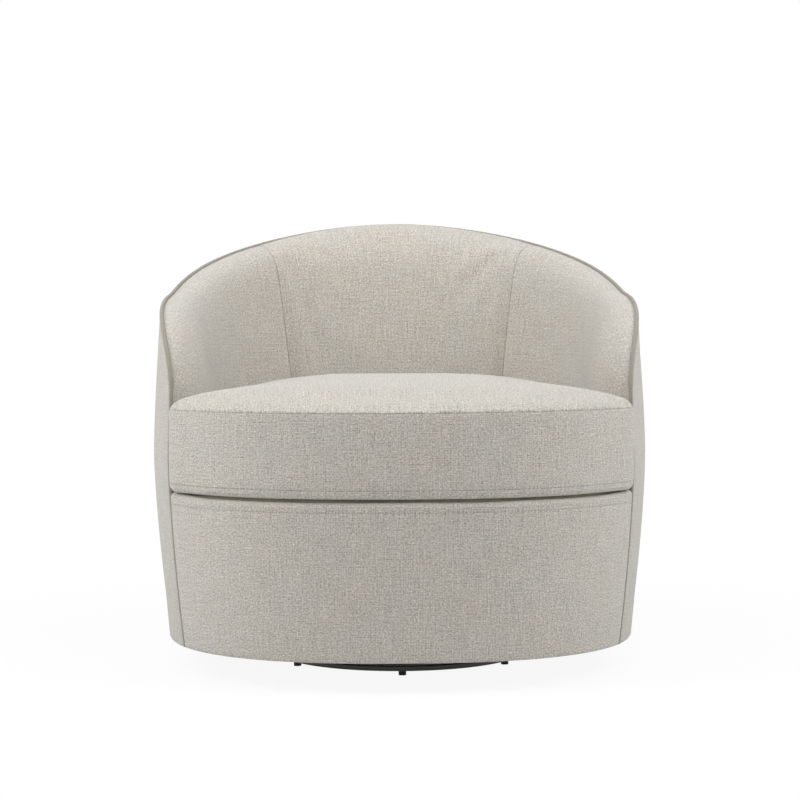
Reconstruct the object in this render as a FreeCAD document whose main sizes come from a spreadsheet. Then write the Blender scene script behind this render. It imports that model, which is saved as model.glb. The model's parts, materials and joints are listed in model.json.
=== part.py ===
import FreeCAD, Part
import Sketcher

import math
import os

Vector = FreeCAD.Vector
Rotation = FreeCAD.Rotation
Placement = FreeCAD.Placement

# Swivel barrel chair. The origin is on the floor under the swivel axis, +Z is up and the front faces -Y.
# Angles round the chair are in degrees, 0 at the middle of the back, 180 at the middle of the front.

SIZES = [
    # Outside of the barrel, as plan outline and upright curve
    ("chair_width", 800.0),
    ("chair_depth", 790.0),
    ("outline_power", 2.4),
    ("skirt_height", 50.0),
    ("skirt_draw_in", 25.0),
    ("belly_height", 340.0),
    ("back_height", 725.0),
    ("back_draw_in", 30.0),
    ("draw_in_power", 1.5),
    ("corner_angle", 120.4),
    # Top line of the back and arms
    ("arm_height", 598.0),
    ("arm_front_height", 423.0),
    ("rise_angle", 79.0),
    ("rise_blend", 5.0),
    ("arm_curve_angle", 75.0),
    ("arm_curve_power", 2.2),
    # Inside of the seat
    ("seat_width", 596.0),
    ("seat_rear_reach", 222.0),
    ("arm_taper_angle", 106.0),
    ("arm_end_depth", 22.0),
    ("back_top_depth", 78.0),
    ("arm_top_depth", 70.0),
    ("back_roll_height", 55.0),
    ("arm_roll_height", 45.0),
    ("arm_end_roll_height", 14.0),
    ("back_crest_depth", 28.0),
    ("arm_crest_depth", 22.0),
    ("arm_end_crest_depth", 11.0),
    ("crest_rise", 5.0),
    ("pad_bulge", 6.0),
    ("panel_seam_angle", 40.0),
    ("back_foam_depth", 60.0),
    ("arm_foam_depth", 38.0),
    ("arm_pad_angle", 114.0),
    # Skins and boards
    ("skin_gap", 0.3),
    ("cover_thickness", 2.5),
    ("wrap_thickness", 3.0),
    ("liner_thickness", 3.0),
    ("apron_pad_thickness", 8.0),
    ("front_panel_thickness", 6.0),
    ("tack_strip_thickness", 1.5),
    ("tack_strip_width", 14.0),
    ("cord_diameter", 6.4),
    ("cord_stand_out", 1.0),
    ("cord_clearance", 1.5),
    # Wooden frame
    ("base_panel_thickness", 18.0),
    ("seat_ring_thickness", 18.0),
    ("rib_thickness", 15.0),
    ("rib_foot_depth", 45.0),
    ("rail_width", 40.0),
    ("rail_thickness", 18.0),
    ("rail_drop", 30.0),
    ("rail_end_angle", 113.0),
    ("post_angle", 108.0),
    ("post_depth", 18.0),
    ("post_width", 40.0),
    ("seat_opening_width", 500.0),
    ("seat_opening_front", 300.0),
    ("seat_opening_rear", 195.0),
    ("seat_post_size", 36.0),
    ("corner_block_size", 40.0),
    # Springs and deck
    ("deck_height", 290.0),
    ("deck_cloth_thickness", 1.5),
    ("deck_foam_thickness", 30.0),
    ("felt_thickness", 4.0),
    ("spring_wire", 3.8),
    ("spring_loop_width", 52.0),
    ("spring_loop_radius", 13.0),
    ("spring_pitch", 80.0),
    ("spring_clip_length", 24.0),
    ("spring_clip_width", 11.0),
    ("spring_clip_height", 7.0),
    ("tie_wire", 3.0),
    ("tie_wire_spacing", 160.0),
    ("tie_wire_length", 400.0),
    # Seat cushion
    ("cushion_side_gap", 4.5),
    ("cushion_rear_gap", 8.0),
    ("cushion_stand_out", 1.0),
    ("cushion_end_angle", 1.2),
    ("cushion_edge_height", 10.0),
    ("cushion_edge_draw_in", 12.0),
    ("cushion_box_height", 121.0),
    ("cushion_side_bulge", 3.0),
    ("cushion_crown", 42.0),
    ("cushion_fabric", 2.0),
    ("zipper_half_length", 110.0),
    ("zipper_stand_off", 1.2),
    ("zipper_tape_width", 26.0),
    ("zipper_tape_thickness", 1.2),
    ("zipper_coil_width", 5.0),
    ("zipper_coil_thickness", 1.6),
    ("slider_length", 12.0),
    ("slider_width", 9.0),
    ("slider_thickness", 1.2),
    ("slider_gap", 0.2),
    # Swivel
    ("foot_height", 7.0),
    ("foot_diameter", 12.0),
    ("foot_circle_radius", 192.0),
    ("foot_rivet_diameter", 4.0),
    ("rivet_head_diameter", 7.0),
    ("rivet_head_height", 1.5),
    ("ring_outer_radius", 200.0),
    ("ring_inner_radius", 150.0),
    ("ring_sheet", 2.0),
    ("ring_rim_height", 7.0),
    ("race_radius", 172.0),
    ("race_half_width", 9.0),
    ("ball_diameter", 8.0),
    ("ball_clearance", 0.05),
    ("cage_thickness", 2.0),
    ("cage_half_width", 7.0),
    ("cage_hole_clearance", 0.2),
    ("retainer_lip", 7.0),
    ("retainer_clearance", 1.0),
    ("swivel_height", 26.0),
    ("flange_inner_radius", 118.0),
    ("swivel_bolt_circle_radius", 134.0),
    ("swivel_bolt_diameter", 6.0),
    ("swivel_bolt_head_diameter", 12.0),
    ("swivel_bolt_head_height", 3.5),
    ("bolt_hole_clearance", 0.25),
    ("swivel_board_radius", 215.0),
    ("swivel_board_thickness", 18.0),
    ("tee_nut_diameter", 20.0),
    ("tee_nut_flange", 1.5),
    ("tee_nut_barrel_diameter", 8.0),
    ("board_screw_diameter", 5.0),
    ("board_screw_circle_radius", 190.0),
    ("dust_cover_thickness", 0.7),
]

FOOT_COUNT = 6
BALL_COUNT = 24
RETAINER_RIVET_COUNT = 8
SWIVEL_BOLT_COUNT = 6
BOARD_SCREW_COUNT = 6
SPRING_COUNT = 5

doc = FreeCAD.newDocument("swivel_barrel_chair")
sheet = doc.addObject("Spreadsheet::Sheet", "sizes")
for row, (alias, value) in enumerate(SIZES, start=1):
    sheet.set("A%d" % row, alias)
    sheet.set("B%d" % row, str(value))
    sheet.setAlias("B%d" % row, alias)
doc.recompute()


def size(alias):
    return float(sheet.get(alias))


gap = size("skin_gap")
sub_parts = []


def keep(obj, label):
    obj.Label = label
    sub_parts.append(obj)
    return obj


def shaped(label, shape):
    feature = doc.addObject("Part::Feature", label)
    feature.Shape = shape
    return keep(feature, label)


# Outline of the barrel

def oval_radius(angle, half_width, half_depth):
    power = size("outline_power")
    turn = math.radians(angle)
    across = abs(math.sin(turn)) / half_width
    along = abs(math.cos(turn)) / half_depth
    return (across ** power + along ** power) ** (-1.0 / power)


def draw_in(height):
    belly = size("belly_height")
    if height < belly:
        share = (belly - height) / (belly - size("skirt_height"))
        return size("skirt_draw_in") * share ** size("draw_in_power")
    share = (height - belly) / (size("back_height") - belly)
    return size("back_draw_in") * share ** size("draw_in_power")


def shell_radius(angle, height, depth=0.0):
    outline = oval_radius(angle, size("chair_width") / 2, size("chair_depth") / 2)
    return outline - draw_in(height) - depth


def top_line(angle):
    turn = abs(angle)
    rise = size("back_height") - size("arm_height")
    wave = rise * math.cos(math.radians(90 * turn / size("rise_angle")))
    blend = size("rise_blend")
    lift = (wave + math.hypot(wave, 2 * blend)) / 2
    lift_at_back = (rise + math.hypot(rise, 2 * blend)) / 2
    start = size("arm_curve_angle")
    share = min(max((turn - start) / (size("corner_angle") - start), 0.0), 1.0)
    power = size("arm_curve_power")
    arm = (1 - share ** power) ** (1 / power)
    fall = size("arm_height") - size("arm_front_height")
    return size("arm_front_height") + fall * arm + lift - (lift_at_back - rise)


def taper(angle):
    start = size("arm_taper_angle")
    share = min(max((abs(angle) - start) / (PAD_END_ANGLE - start), 0.0), 1.0)
    return math.sqrt(1 - share ** 2)


def mixed(angle, at_back, at_arm, at_end):
    side = math.sin(math.radians(min(abs(angle), 90))) ** 2
    value = at_back + (at_arm - at_back) * side
    return at_end + (value - at_end) * taper(angle)


# Angles of the frame's posts and ribs, from the middle of the back
SEAT_POST_ANGLES = (-145.0, -35.0, 35.0, 145.0)
BACK_RIB_ANGLES = (-44.0, -22.0, 0.0, 22.0, 44.0)
ARM_RIB_ANGLES = (-88.0, -66.0, 66.0, 88.0)

# Half the cord and its gap, as an angle at the front corner
CORD_RADIUS = size("cord_diameter") / 2
corner_radius = oval_radius(size("corner_angle"), size("chair_width") / 2, size("chair_depth") / 2)
CORD_ANGLE = math.degrees((CORD_RADIUS + 2 * gap) / corner_radius)
PAD_END_ANGLE = size("corner_angle") - CORD_ANGLE
APRON_ANGLE = size("corner_angle") + CORD_ANGLE

FRAME_DEPTH = size("wrap_thickness") + gap + size("liner_thickness") + gap
FRONT_PANEL_DEPTH = size("wrap_thickness") + gap + size("apron_pad_thickness") + gap
FRONT_FRAME_DEPTH = FRONT_PANEL_DEPTH + size("front_panel_thickness") + gap

# Heights of the flat layers, from the floor up
ring_bottom = size("foot_height")
swivel_top = ring_bottom + size("swivel_height")
base_bottom = swivel_top + size("swivel_board_thickness")
base_top = base_bottom + size("base_panel_thickness")
cloth_bottom = size("deck_height") - size("deck_cloth_thickness")
foam_bottom = cloth_bottom - gap - size("deck_foam_thickness")
felt_bottom = foam_bottom - gap - size("felt_thickness")
tie_wire_height = felt_bottom - gap - size("tie_wire") / 2
spring_height = tie_wire_height - size("tie_wire") / 2 - size("spring_wire") / 2
seat_ring_top = spring_height - size("spring_clip_height") / 2
seat_ring_bottom = seat_ring_top - size("seat_ring_thickness")
pad_foot = seat_ring_top + gap
cushion_bottom = size("deck_height") + gap


def seat_radius(angle):
    reach = size("seat_rear_reach") if abs(angle) < 90 else size("chair_depth") / 2
    return oval_radius(angle, size("seat_width") / 2, reach)


def pad_depth(angle):
    full = shell_radius(angle, pad_foot) - seat_radius(angle)
    return size("arm_end_depth") + (full - size("arm_end_depth")) * taper(angle)


def pad_inner_radius(angle):
    return shell_radius(angle, pad_foot) - pad_depth(angle)


def foam_depth(angle):
    side = math.sin(math.radians(min(abs(angle), 90))) ** 2
    return size("back_foam_depth") + (size("arm_foam_depth") - size("back_foam_depth")) * side


def cord_height(angle):
    return top_line(angle) - size("crest_rise")


def cord_centre_radius(angle, height):
    return shell_radius(angle, height) + size("cord_stand_out") - CORD_RADIUS


# Points, wires and lofts

def at(angle, radius, height):
    turn = math.radians(angle)
    return Vector(radius * math.sin(turn), radius * math.cos(turn), height)


def edges_through(angle, spans):
    """Edges from spans of two points, which make a line, or three, which make an arc."""
    edges = []
    for span in spans:
        points = [at(angle, radius, height) for radius, height in span]
        if len(points) == 2:
            edges.append(Part.LineSegment(*points).toShape())
        else:
            edges.append(Part.Arc(*points).toShape())
    return edges


def section(angle, spans):
    return Part.Wire(edges_through(angle, spans))


def swept(angles, spans_at):
    return Part.makeLoft([section(angle, spans_at(angle)) for angle in angles], True, False)


# Steps between the sections of a loft, in degrees
STEP = 6.0
LEAST_STEP = 0.3


def angles_between(first, last, step):
    count = max(int(math.ceil(abs(last - first) / step)), 1)
    return [first + (last - first) * index / count for index in range(count + 1)]


def arm_angles(first, last):
    """Angles along an arm, closer together where its front end draws in."""
    start = size("arm_taper_angle")
    angles = angles_between(first, min(start, last), STEP) if first < start else [first]
    count = 6
    for index in range(1, count):
        angle = start + (PAD_END_ANGLE - start) * math.sin(math.radians(90.0 * index / count))
        if angles[-1] + LEAST_STEP < angle < last - LEAST_STEP:
            angles.append(angle)
    if last > angles[-1]:
        angles.append(last)
    return angles


def mirrored(angles):
    """The angles of one side, from 0 on, and the same on the other side."""
    return [-angle for angle in reversed(angles[1:])] + angles


def ring_wire(radius_at, height):
    """Closed wire of arcs round the chair, with a corner allowed at each angle in PLAN_ANGLES."""
    turns = PLAN_ANGLES + [360 - angle for angle in reversed(PLAN_ANGLES[1:-1])] + [360.0]
    edges = []
    for start, end in zip(turns, turns[1:]):
        points = []
        for turn in (start, (start + end) / 2, end):
            signed = turn if turn <= 180 else turn - 360
            points.append(at(signed, radius_at(signed), height))
        edges.append(Part.Arc(*points).toShape())
    return Part.Wire(edges)


PLAN_ANGLES = [0.0, 10.0, 20.0, 30.0, 40.0, 50.0, 60.0, 70.0, 80.0, 90.0, 98.0] + arm_angles(
    size("arm_taper_angle"), PAD_END_ANGLE) + [APRON_ANGLE + 1.0, 135.0, 150.0, 165.0, 180.0]


def plate(radius_at, bottom, thickness):
    face = Part.Face(ring_wire(radius_at, bottom))
    return face.extrude(Vector(0, 0, thickness))


def blend_at_corner(angle, rear_value, front_value):
    front = size("arm_pad_angle")
    share = (abs(angle) - front) / (PAD_END_ANGLE - front)
    share = min(max(share, 0.0), 1.0)
    return rear_value + (front_value - rear_value) * share


# Round pieces made from the sheet by expressions

def cylinder(name, radius, height, x="0", y="0", z="0"):
    obj = doc.addObject("Part::Cylinder", name)
    obj.setExpression("Radius", radius)
    obj.setExpression("Height", height)
    obj.setExpression("Placement.Base.x", x)
    obj.setExpression("Placement.Base.y", y)
    obj.setExpression("Placement.Base.z", z)
    return obj


def polar(radius, count, index, start=0.0):
    angle = start + 360.0 * index / count
    return "%s * sin(%.6f deg)" % (radius, angle), "-1 * %s * cos(%.6f deg)" % (radius, angle)


def compound(label, links):
    obj = doc.addObject("Part::Compound", label)
    obj.Links = links
    return keep(obj, label)


def fused(name, first, second):
    obj = doc.addObject("Part::Fuse", name)
    obj.Base = first
    obj.Tool = second
    return obj


def plane_of(body, role):
    return [feature for feature in body.Origin.OriginFeatures if feature.Role == role][0]


def turned(label, points):
    """A body turned about the swivel axis, whose profile corners are pairs of expressions."""
    body = doc.addObject("PartDesign::Body", label)
    sketch = body.newObject("Sketcher::SketchObject", label + "_profile")
    sketch.AttachmentSupport = [(plane_of(body, "XZ_Plane"), "")]
    sketch.MapMode = "FlatFace"
    count = len(points)
    places = []
    for index, (across, up) in enumerate(points):
        places.append(Vector(100.0 + 10 * math.cos(2 * math.pi * index / count),
                             10.0 + 10 * math.sin(2 * math.pi * index / count), 0))
    for index in range(count):
        sketch.addGeometry(Part.LineSegment(places[index], places[(index + 1) % count]), False)
    for index in range(count):
        sketch.addConstraint(Sketcher.Constraint("Coincident", index, 2, (index + 1) % count, 1))
    for index in range(count):
        sketch.addConstraint(Sketcher.Constraint("DistanceX", -1, 1, index, 1, places[index].x))
        sketch.renameConstraint(sketch.ConstraintCount - 1, "across_%d" % index)
        sketch.addConstraint(Sketcher.Constraint("DistanceY", -1, 1, index, 1, places[index].y))
        sketch.renameConstraint(sketch.ConstraintCount - 1, "up_%d" % index)
    for index, (across, up) in enumerate(points):
        sketch.setExpression("Constraints.across_%d" % index, across)
        sketch.setExpression("Constraints.up_%d" % index, up)
    doc.recompute()
    revolution = body.newObject("PartDesign::Revolution", label + "_turned")
    revolution.Profile = sketch
    revolution.ReferenceAxis = (sketch, ["V_Axis"])
    revolution.Angle = 360.0
    body.Tip = revolution
    doc.recompute()
    return keep(body, label)


def drill(body, name, diameter, circle_radius, count, start=0.0):
    """A ring of holes up through a turned body."""
    before = body.Shape.Volume
    sketch = body.newObject("Sketcher::SketchObject", name + "_hole")
    sketch.AttachmentSupport = [(plane_of(body, "XY_Plane"), "")]
    sketch.MapMode = "FlatFace"
    turn = math.radians(start)
    centre = Vector(50 * math.sin(turn), -50 * math.cos(turn), 0)
    sketch.addGeometry(Part.Circle(centre, Vector(0, 0, 1), 2.0), False)
    sketch.addConstraint(Sketcher.Constraint("Radius", 0, 2.0))
    sketch.renameConstraint(0, "hole_radius")
    sketch.addConstraint(Sketcher.Constraint("DistanceX", -1, 1, 0, 3, 50 * math.sin(turn)))
    sketch.renameConstraint(1, "hole_across")
    sketch.addConstraint(Sketcher.Constraint("DistanceY", -1, 1, 0, 3, -50 * math.cos(turn)))
    sketch.renameConstraint(2, "hole_along")
    sketch.setExpression("Constraints.hole_radius", "(%s) / 2" % diameter)
    sketch.setExpression("Constraints.hole_across", "%s * sin(%.6f deg)" % (circle_radius, start))
    sketch.setExpression("Constraints.hole_along", "-1 * %s * cos(%.6f deg)" % (circle_radius, start))
    doc.recompute()
    pocket = body.newObject("PartDesign::Pocket", name + "_pocket")
    pocket.Profile = sketch
    pocket.Type = "ThroughAll"
    pocket.Reversed = True
    body.Tip = pocket
    doc.recompute()
    pattern = body.newObject("PartDesign::PolarPattern", name + "_pattern")
    pattern.Originals = [pocket]
    pattern.Axis = (plane_of(body, "Z_Axis"), [""])
    pattern.Angle = 360.0
    pattern.Occurrences = count
    body.Tip = pattern
    doc.recompute()
    if not body.Shape.Volume < before:
        raise RuntimeError("%s cuts nothing" % name)


# Swivel: lower ring on rubber feet, balls in a cage, retaining ring, upper ring

LOWER_TOP = "(sizes.foot_height + sizes.ring_sheet)"
RACE_BOTTOM = "(%s + sizes.ball_diameter + 2 * sizes.ball_clearance)" % LOWER_TOP
RACE_TOP = "(%s + sizes.ring_sheet)" % RACE_BOTTOM
SWIVEL_TOP = "(sizes.foot_height + sizes.swivel_height)"
BALL_HEIGHT = "(%s + sizes.ball_clearance + sizes.ball_diameter / 2)" % LOWER_TOP
RACE_INNER = "(sizes.race_radius - sizes.race_half_width)"
RACE_OUTER = "(sizes.race_radius + sizes.race_half_width)"
RETAINER_OUTER = "(%s - sizes.retainer_clearance)" % RACE_INNER
RETAINER_RIVET_CIRCLE = "((sizes.ring_inner_radius + %s - sizes.ring_sheet) / 2)" % RETAINER_OUTER
RIVET_HOLE = "(sizes.foot_rivet_diameter + 2 * sizes.ball_clearance)"

lower_ring = turned("swivel_lower_ring", [
    ("sizes.ring_inner_radius", "sizes.foot_height"),
    ("sizes.ring_outer_radius", "sizes.foot_height"),
    ("sizes.ring_outer_radius", "sizes.foot_height + sizes.ring_rim_height"),
    ("sizes.ring_outer_radius - sizes.ring_sheet", "sizes.foot_height + sizes.ring_rim_height"),
    ("sizes.ring_outer_radius - sizes.ring_sheet", LOWER_TOP),
    ("sizes.ring_inner_radius", LOWER_TOP),
])
drill(lower_ring, "foot_rivet", RIVET_HOLE, "sizes.foot_circle_radius", FOOT_COUNT)
drill(lower_ring, "retainer_rivet", RIVET_HOLE, RETAINER_RIVET_CIRCLE, RETAINER_RIVET_COUNT)

retaining_ring = turned("retaining_ring", [
    ("sizes.ring_inner_radius", LOWER_TOP),
    (RETAINER_OUTER, LOWER_TOP),
    (RETAINER_OUTER, RACE_TOP + " + sizes.retainer_clearance"),
    (RETAINER_OUTER + " + sizes.retainer_lip", RACE_TOP + " + sizes.retainer_clearance"),
    (RETAINER_OUTER + " + sizes.retainer_lip", RACE_TOP + " + sizes.retainer_clearance + sizes.ring_sheet"),
    (RETAINER_OUTER + " - sizes.ring_sheet", RACE_TOP + " + sizes.retainer_clearance + sizes.ring_sheet"),
    (RETAINER_OUTER + " - sizes.ring_sheet", LOWER_TOP + " + sizes.ring_sheet"),
    ("sizes.ring_inner_radius", LOWER_TOP + " + sizes.ring_sheet"),
])
drill(retaining_ring, "retaining_rivet", RIVET_HOLE, RETAINER_RIVET_CIRCLE, RETAINER_RIVET_COUNT)

upper_ring = turned("swivel_upper_ring", [
    (RACE_INNER, RACE_BOTTOM),
    (RACE_OUTER, RACE_BOTTOM),
    (RACE_OUTER, SWIVEL_TOP),
    ("sizes.flange_inner_radius", SWIVEL_TOP),
    ("sizes.flange_inner_radius", SWIVEL_TOP + " - sizes.ring_sheet"),
    (RACE_OUTER + " - sizes.ring_sheet", SWIVEL_TOP + " - sizes.ring_sheet"),
    (RACE_OUTER + " - sizes.ring_sheet", RACE_TOP),
    (RACE_INNER, RACE_TOP),
])
BOLT_HOLE = "(sizes.swivel_bolt_diameter + 2 * sizes.bolt_hole_clearance)"
drill(upper_ring, "swivel_bolt", BOLT_HOLE, "sizes.swivel_bolt_circle_radius", SWIVEL_BOLT_COUNT)

cage = turned("ball_cage", [
    ("sizes.race_radius - sizes.cage_half_width", BALL_HEIGHT + " - sizes.cage_thickness / 2"),
    ("sizes.race_radius + sizes.cage_half_width", BALL_HEIGHT + " - sizes.cage_thickness / 2"),
    ("sizes.race_radius + sizes.cage_half_width", BALL_HEIGHT + " + sizes.cage_thickness / 2"),
    ("sizes.race_radius - sizes.cage_half_width", BALL_HEIGHT + " + sizes.cage_thickness / 2"),
])
BALL_HOLE = "(sizes.ball_diameter + 2 * sizes.cage_hole_clearance)"
drill(cage, "ball", BALL_HOLE, "sizes.race_radius", BALL_COUNT)

balls = []
for index in range(BALL_COUNT):
    across, along = polar("sizes.race_radius", BALL_COUNT, index)
    ball = doc.addObject("Part::Sphere", "ball_%d" % index)
    ball.setExpression("Radius", "sizes.ball_diameter / 2")
    ball.setExpression("Placement.Base.x", across)
    ball.setExpression("Placement.Base.y", along)
    ball.setExpression("Placement.Base.z", BALL_HEIGHT)
    balls.append(ball)
compound("bearing_balls", balls)


def headed_pin(name, place, shank, head_radius, head_height, length, start, head_below):
    """A shank with a flat head, the head below or above it."""
    across, along = place
    pin = cylinder(name + "_shank", shank, length, across, along, start)
    if head_below:
        head_start = "%s - %s" % (start, head_height)
        head = cylinder(name + "_head", head_radius, head_height, across, along, head_start)
    else:
        head = cylinder(name + "_head", head_radius, head_height, across, along, "%s + %s" % (start, length))
    return fused(name, pin, head)


FOOT_BORE_BOTTOM = "(sizes.foot_height - sizes.foot_height * 0.7)"
feet = []
foot_rivets = []
for index in range(FOOT_COUNT):
    place = polar("sizes.foot_circle_radius", FOOT_COUNT, index)
    pad = cylinder("foot_body_%d" % index, "sizes.foot_diameter / 2", "sizes.foot_height", *place)
    bore = cylinder("foot_bore_%d" % index, RIVET_HOLE + " / 2", "sizes.foot_height", *place,
                    FOOT_BORE_BOTTOM)
    foot = doc.addObject("Part::Cut", "foot_%d" % index)
    foot.Base = pad
    foot.Tool = bore
    feet.append(foot)
    length = "(%s - %s)" % (LOWER_TOP, FOOT_BORE_BOTTOM)
    foot_rivets.append(headed_pin("foot_rivet_%d" % index, place, "sizes.foot_rivet_diameter / 2",
                                  "sizes.rivet_head_diameter / 2", "sizes.rivet_head_height",
                                  length, FOOT_BORE_BOTTOM, False))
compound("foot_pads", feet)
compound("foot_rivets", foot_rivets)

retaining_rivets = []
for index in range(RETAINER_RIVET_COUNT):
    place = polar(RETAINER_RIVET_CIRCLE, RETAINER_RIVET_COUNT, index)
    rivet = headed_pin("retaining_rivet_%d" % index, place, "sizes.foot_rivet_diameter / 2",
                       "sizes.rivet_head_diameter / 2", "sizes.rivet_head_height",
                       "(2 * sizes.ring_sheet)", "sizes.foot_height", True)
    across, along = place
    top_head = cylinder("retaining_rivet_top_%d" % index, "sizes.rivet_head_diameter / 2",
                        "sizes.rivet_head_height", across, along, LOWER_TOP + " + sizes.ring_sheet")
    retaining_rivets.append(fused("retaining_rivet_both_%d" % index, rivet, top_head))
compound("retaining_rivets", retaining_rivets)

# Swivel board, base panel and what bolts them to the ring

BOARD_TOP = "(%s + sizes.swivel_board_thickness)" % SWIVEL_TOP
BASE_TOP = "(%s + sizes.base_panel_thickness)" % BOARD_TOP
SCREW_HOLE = "(sizes.board_screw_diameter + 2 * sizes.bolt_hole_clearance)"
TEE_NUT_DEPTH = "(sizes.base_panel_thickness / 2)"

board = cylinder("swivel_board_disc", "sizes.swivel_board_radius", "sizes.swivel_board_thickness",
                 z=SWIVEL_TOP)
board_holes = []
for index in range(SWIVEL_BOLT_COUNT):
    place = polar("sizes.swivel_bolt_circle_radius", SWIVEL_BOLT_COUNT, index)
    board_holes.append(cylinder("board_bolt_hole_%d" % index, BOLT_HOLE + " / 2",
                                "sizes.swivel_board_thickness", *place, SWIVEL_TOP))
for index in range(BOARD_SCREW_COUNT):
    place = polar("sizes.board_screw_circle_radius", BOARD_SCREW_COUNT, index, 30.0)
    board_holes.append(cylinder("board_screw_hole_%d" % index, SCREW_HOLE + " / 2",
                                "sizes.swivel_board_thickness", *place, SWIVEL_TOP))
board_tools = doc.addObject("Part::MultiFuse", "swivel_board_holes")
board_tools.Shapes = board_holes
swivel_board = doc.addObject("Part::Cut", "swivel_board")
swivel_board.Base = board
swivel_board.Tool = board_tools
keep(swivel_board, "swivel_board")

bolts = []
tee_nuts = []
for index in range(SWIVEL_BOLT_COUNT):
    place = polar("sizes.swivel_bolt_circle_radius", SWIVEL_BOLT_COUNT, index)
    start = "(%s - sizes.ring_sheet)" % SWIVEL_TOP
    length = "(%s - %s)" % (BASE_TOP, start)
    bolts.append(headed_pin("swivel_bolt_%d" % index, place, "sizes.swivel_bolt_diameter / 2",
                            "sizes.swivel_bolt_head_diameter / 2", "sizes.swivel_bolt_head_height",
                            length, start, True))
    nut_start = "(%s - %s)" % (BASE_TOP, TEE_NUT_DEPTH)
    nut = headed_pin("tee_nut_body_%d" % index, place, "sizes.tee_nut_barrel_diameter / 2",
                     "sizes.tee_nut_diameter / 2", "sizes.tee_nut_flange", TEE_NUT_DEPTH, nut_start, False)
    bore = cylinder("tee_nut_bore_%d" % index, "sizes.swivel_bolt_diameter / 2 + sizes.ball_clearance",
                    "sizes.base_panel_thickness", *place, nut_start)
    tee_nut = doc.addObject("Part::Cut", "tee_nut_%d" % index)
    tee_nut.Base = nut
    tee_nut.Tool = bore
    tee_nuts.append(tee_nut)
compound("swivel_bolts", bolts)
compound("tee_nuts", tee_nuts)

screws = []
for index in range(BOARD_SCREW_COUNT):
    place = polar("sizes.board_screw_circle_radius", BOARD_SCREW_COUNT, index, 30.0)
    length = "(sizes.swivel_board_thickness + sizes.base_panel_thickness * 0.7)"
    screws.append(headed_pin("board_screw_%d" % index, place, "sizes.board_screw_diameter / 2",
                             "sizes.board_screw_diameter * 0.9", "sizes.ring_sheet", length,
                              SWIVEL_TOP, True))
compound("board_screws", screws)


def base_radius(angle):
    rear = shell_radius(angle, base_bottom, FRAME_DEPTH)
    front = shell_radius(angle, base_bottom, FRONT_PANEL_DEPTH)
    return blend_at_corner(angle, rear, front)


panel_shape = plate(base_radius, base_bottom, size("base_panel_thickness"))
panel_holes = []
for index in range(SWIVEL_BOLT_COUNT):
    turn = 180.0 - 360.0 * index / SWIVEL_BOLT_COUNT
    hole_place = at(turn, size("swivel_bolt_circle_radius"), base_bottom)
    barrel_hole = size("tee_nut_barrel_diameter") / 2 + size("bolt_hole_clearance")
    panel_holes.append(Part.makeCylinder(barrel_hole, size("base_panel_thickness"), hole_place))
for index in range(BOARD_SCREW_COUNT):
    turn = 180.0 - 30.0 - 360.0 * index / BOARD_SCREW_COUNT
    hole_place = at(turn, size("board_screw_circle_radius"), base_bottom)
    screw_hole = size("board_screw_diameter") / 2 + size("bolt_hole_clearance")
    panel_holes.append(Part.makeCylinder(screw_hole, size("base_panel_thickness"), hole_place))
shaped("base_panel", panel_shape.cut(panel_holes))


def dust_cover_radius(angle):
    return shell_radius(angle, size("skirt_height"), size("wrap_thickness") + gap)


dust = plate(dust_cover_radius, base_bottom - size("dust_cover_thickness"), size("dust_cover_thickness"))
dust_hole = Part.makeCylinder(size("swivel_board_radius") + gap, 3 * size("dust_cover_thickness"),
                              Vector(0, 0, base_bottom - 2 * size("dust_cover_thickness")))
shaped("dust_cover", dust.cut(dust_hole))


# Seat ring and the pieces that carry it

def opening_radius(angle):
    reach = size("seat_opening_rear") if abs(angle) < 90 else size("seat_opening_front")
    return oval_radius(angle, size("seat_opening_width") / 2, reach)


def seat_ring_radius(angle):
    rear = shell_radius(angle, seat_ring_bottom, FRAME_DEPTH + size("rib_foot_depth") + gap)
    front = shell_radius(angle, seat_ring_bottom, FRONT_FRAME_DEPTH)
    return blend_at_corner(angle, rear, front)


ring_shape = plate(seat_ring_radius, seat_ring_bottom, size("seat_ring_thickness"))
opening_shape = plate(opening_radius, seat_ring_bottom, size("seat_ring_thickness"))
shaped("seat_ring", ring_shape.cut(opening_shape))


def standing_box(angle, middle_radius, depth, width, bottom, top):
    box = Part.makeBox(width, depth, top - bottom, Vector(-width / 2, middle_radius - depth / 2, bottom))
    box.rotate(Vector(0, 0, 0), Vector(0, 0, 1), -angle)
    return box


def corner_block(angle, post_inner_radius):
    reach = size("corner_block_size")
    half = size("seat_ring_thickness") / 2
    corners = [(post_inner_radius, base_top), (post_inner_radius - reach, base_top),
               (post_inner_radius, base_top + reach)]
    points = [Vector(-half, radius, height) for radius, height in corners]
    block = Part.Face(Part.makePolygon(points + points[:1])).extrude(Vector(2 * half, 0, 0))
    block.rotate(Vector(0, 0, 0), Vector(0, 0, 1), -angle)
    return block


def values_across(value_at, angle, half_width, radius):
    """A value at both faces and the middle of a flat piece that stands in a radial plane."""
    turn = math.degrees(half_width / radius)
    return [value_at(angle - turn), value_at(angle), value_at(angle + turn)]


def least(radius_at, angle, half_width):
    radius = radius_at(angle)
    return min(values_across(radius_at, angle, half_width, radius)) - half_width ** 2 / (2 * radius) - gap


def most(radius_at, angle, half_width):
    return max(values_across(radius_at, angle, half_width, radius_at(angle))) + gap


def rail_top(angle):
    return top_line(angle) - size("rail_drop")


def rail_bottom(angle):
    return rail_top(angle) - size("rail_thickness")


def rail_outer_radius(angle):
    return shell_radius(angle, rail_top(angle), FRAME_DEPTH + gap)


def rail_inner_radius(angle):
    return rail_outer_radius(angle) - size("rail_width")


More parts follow.
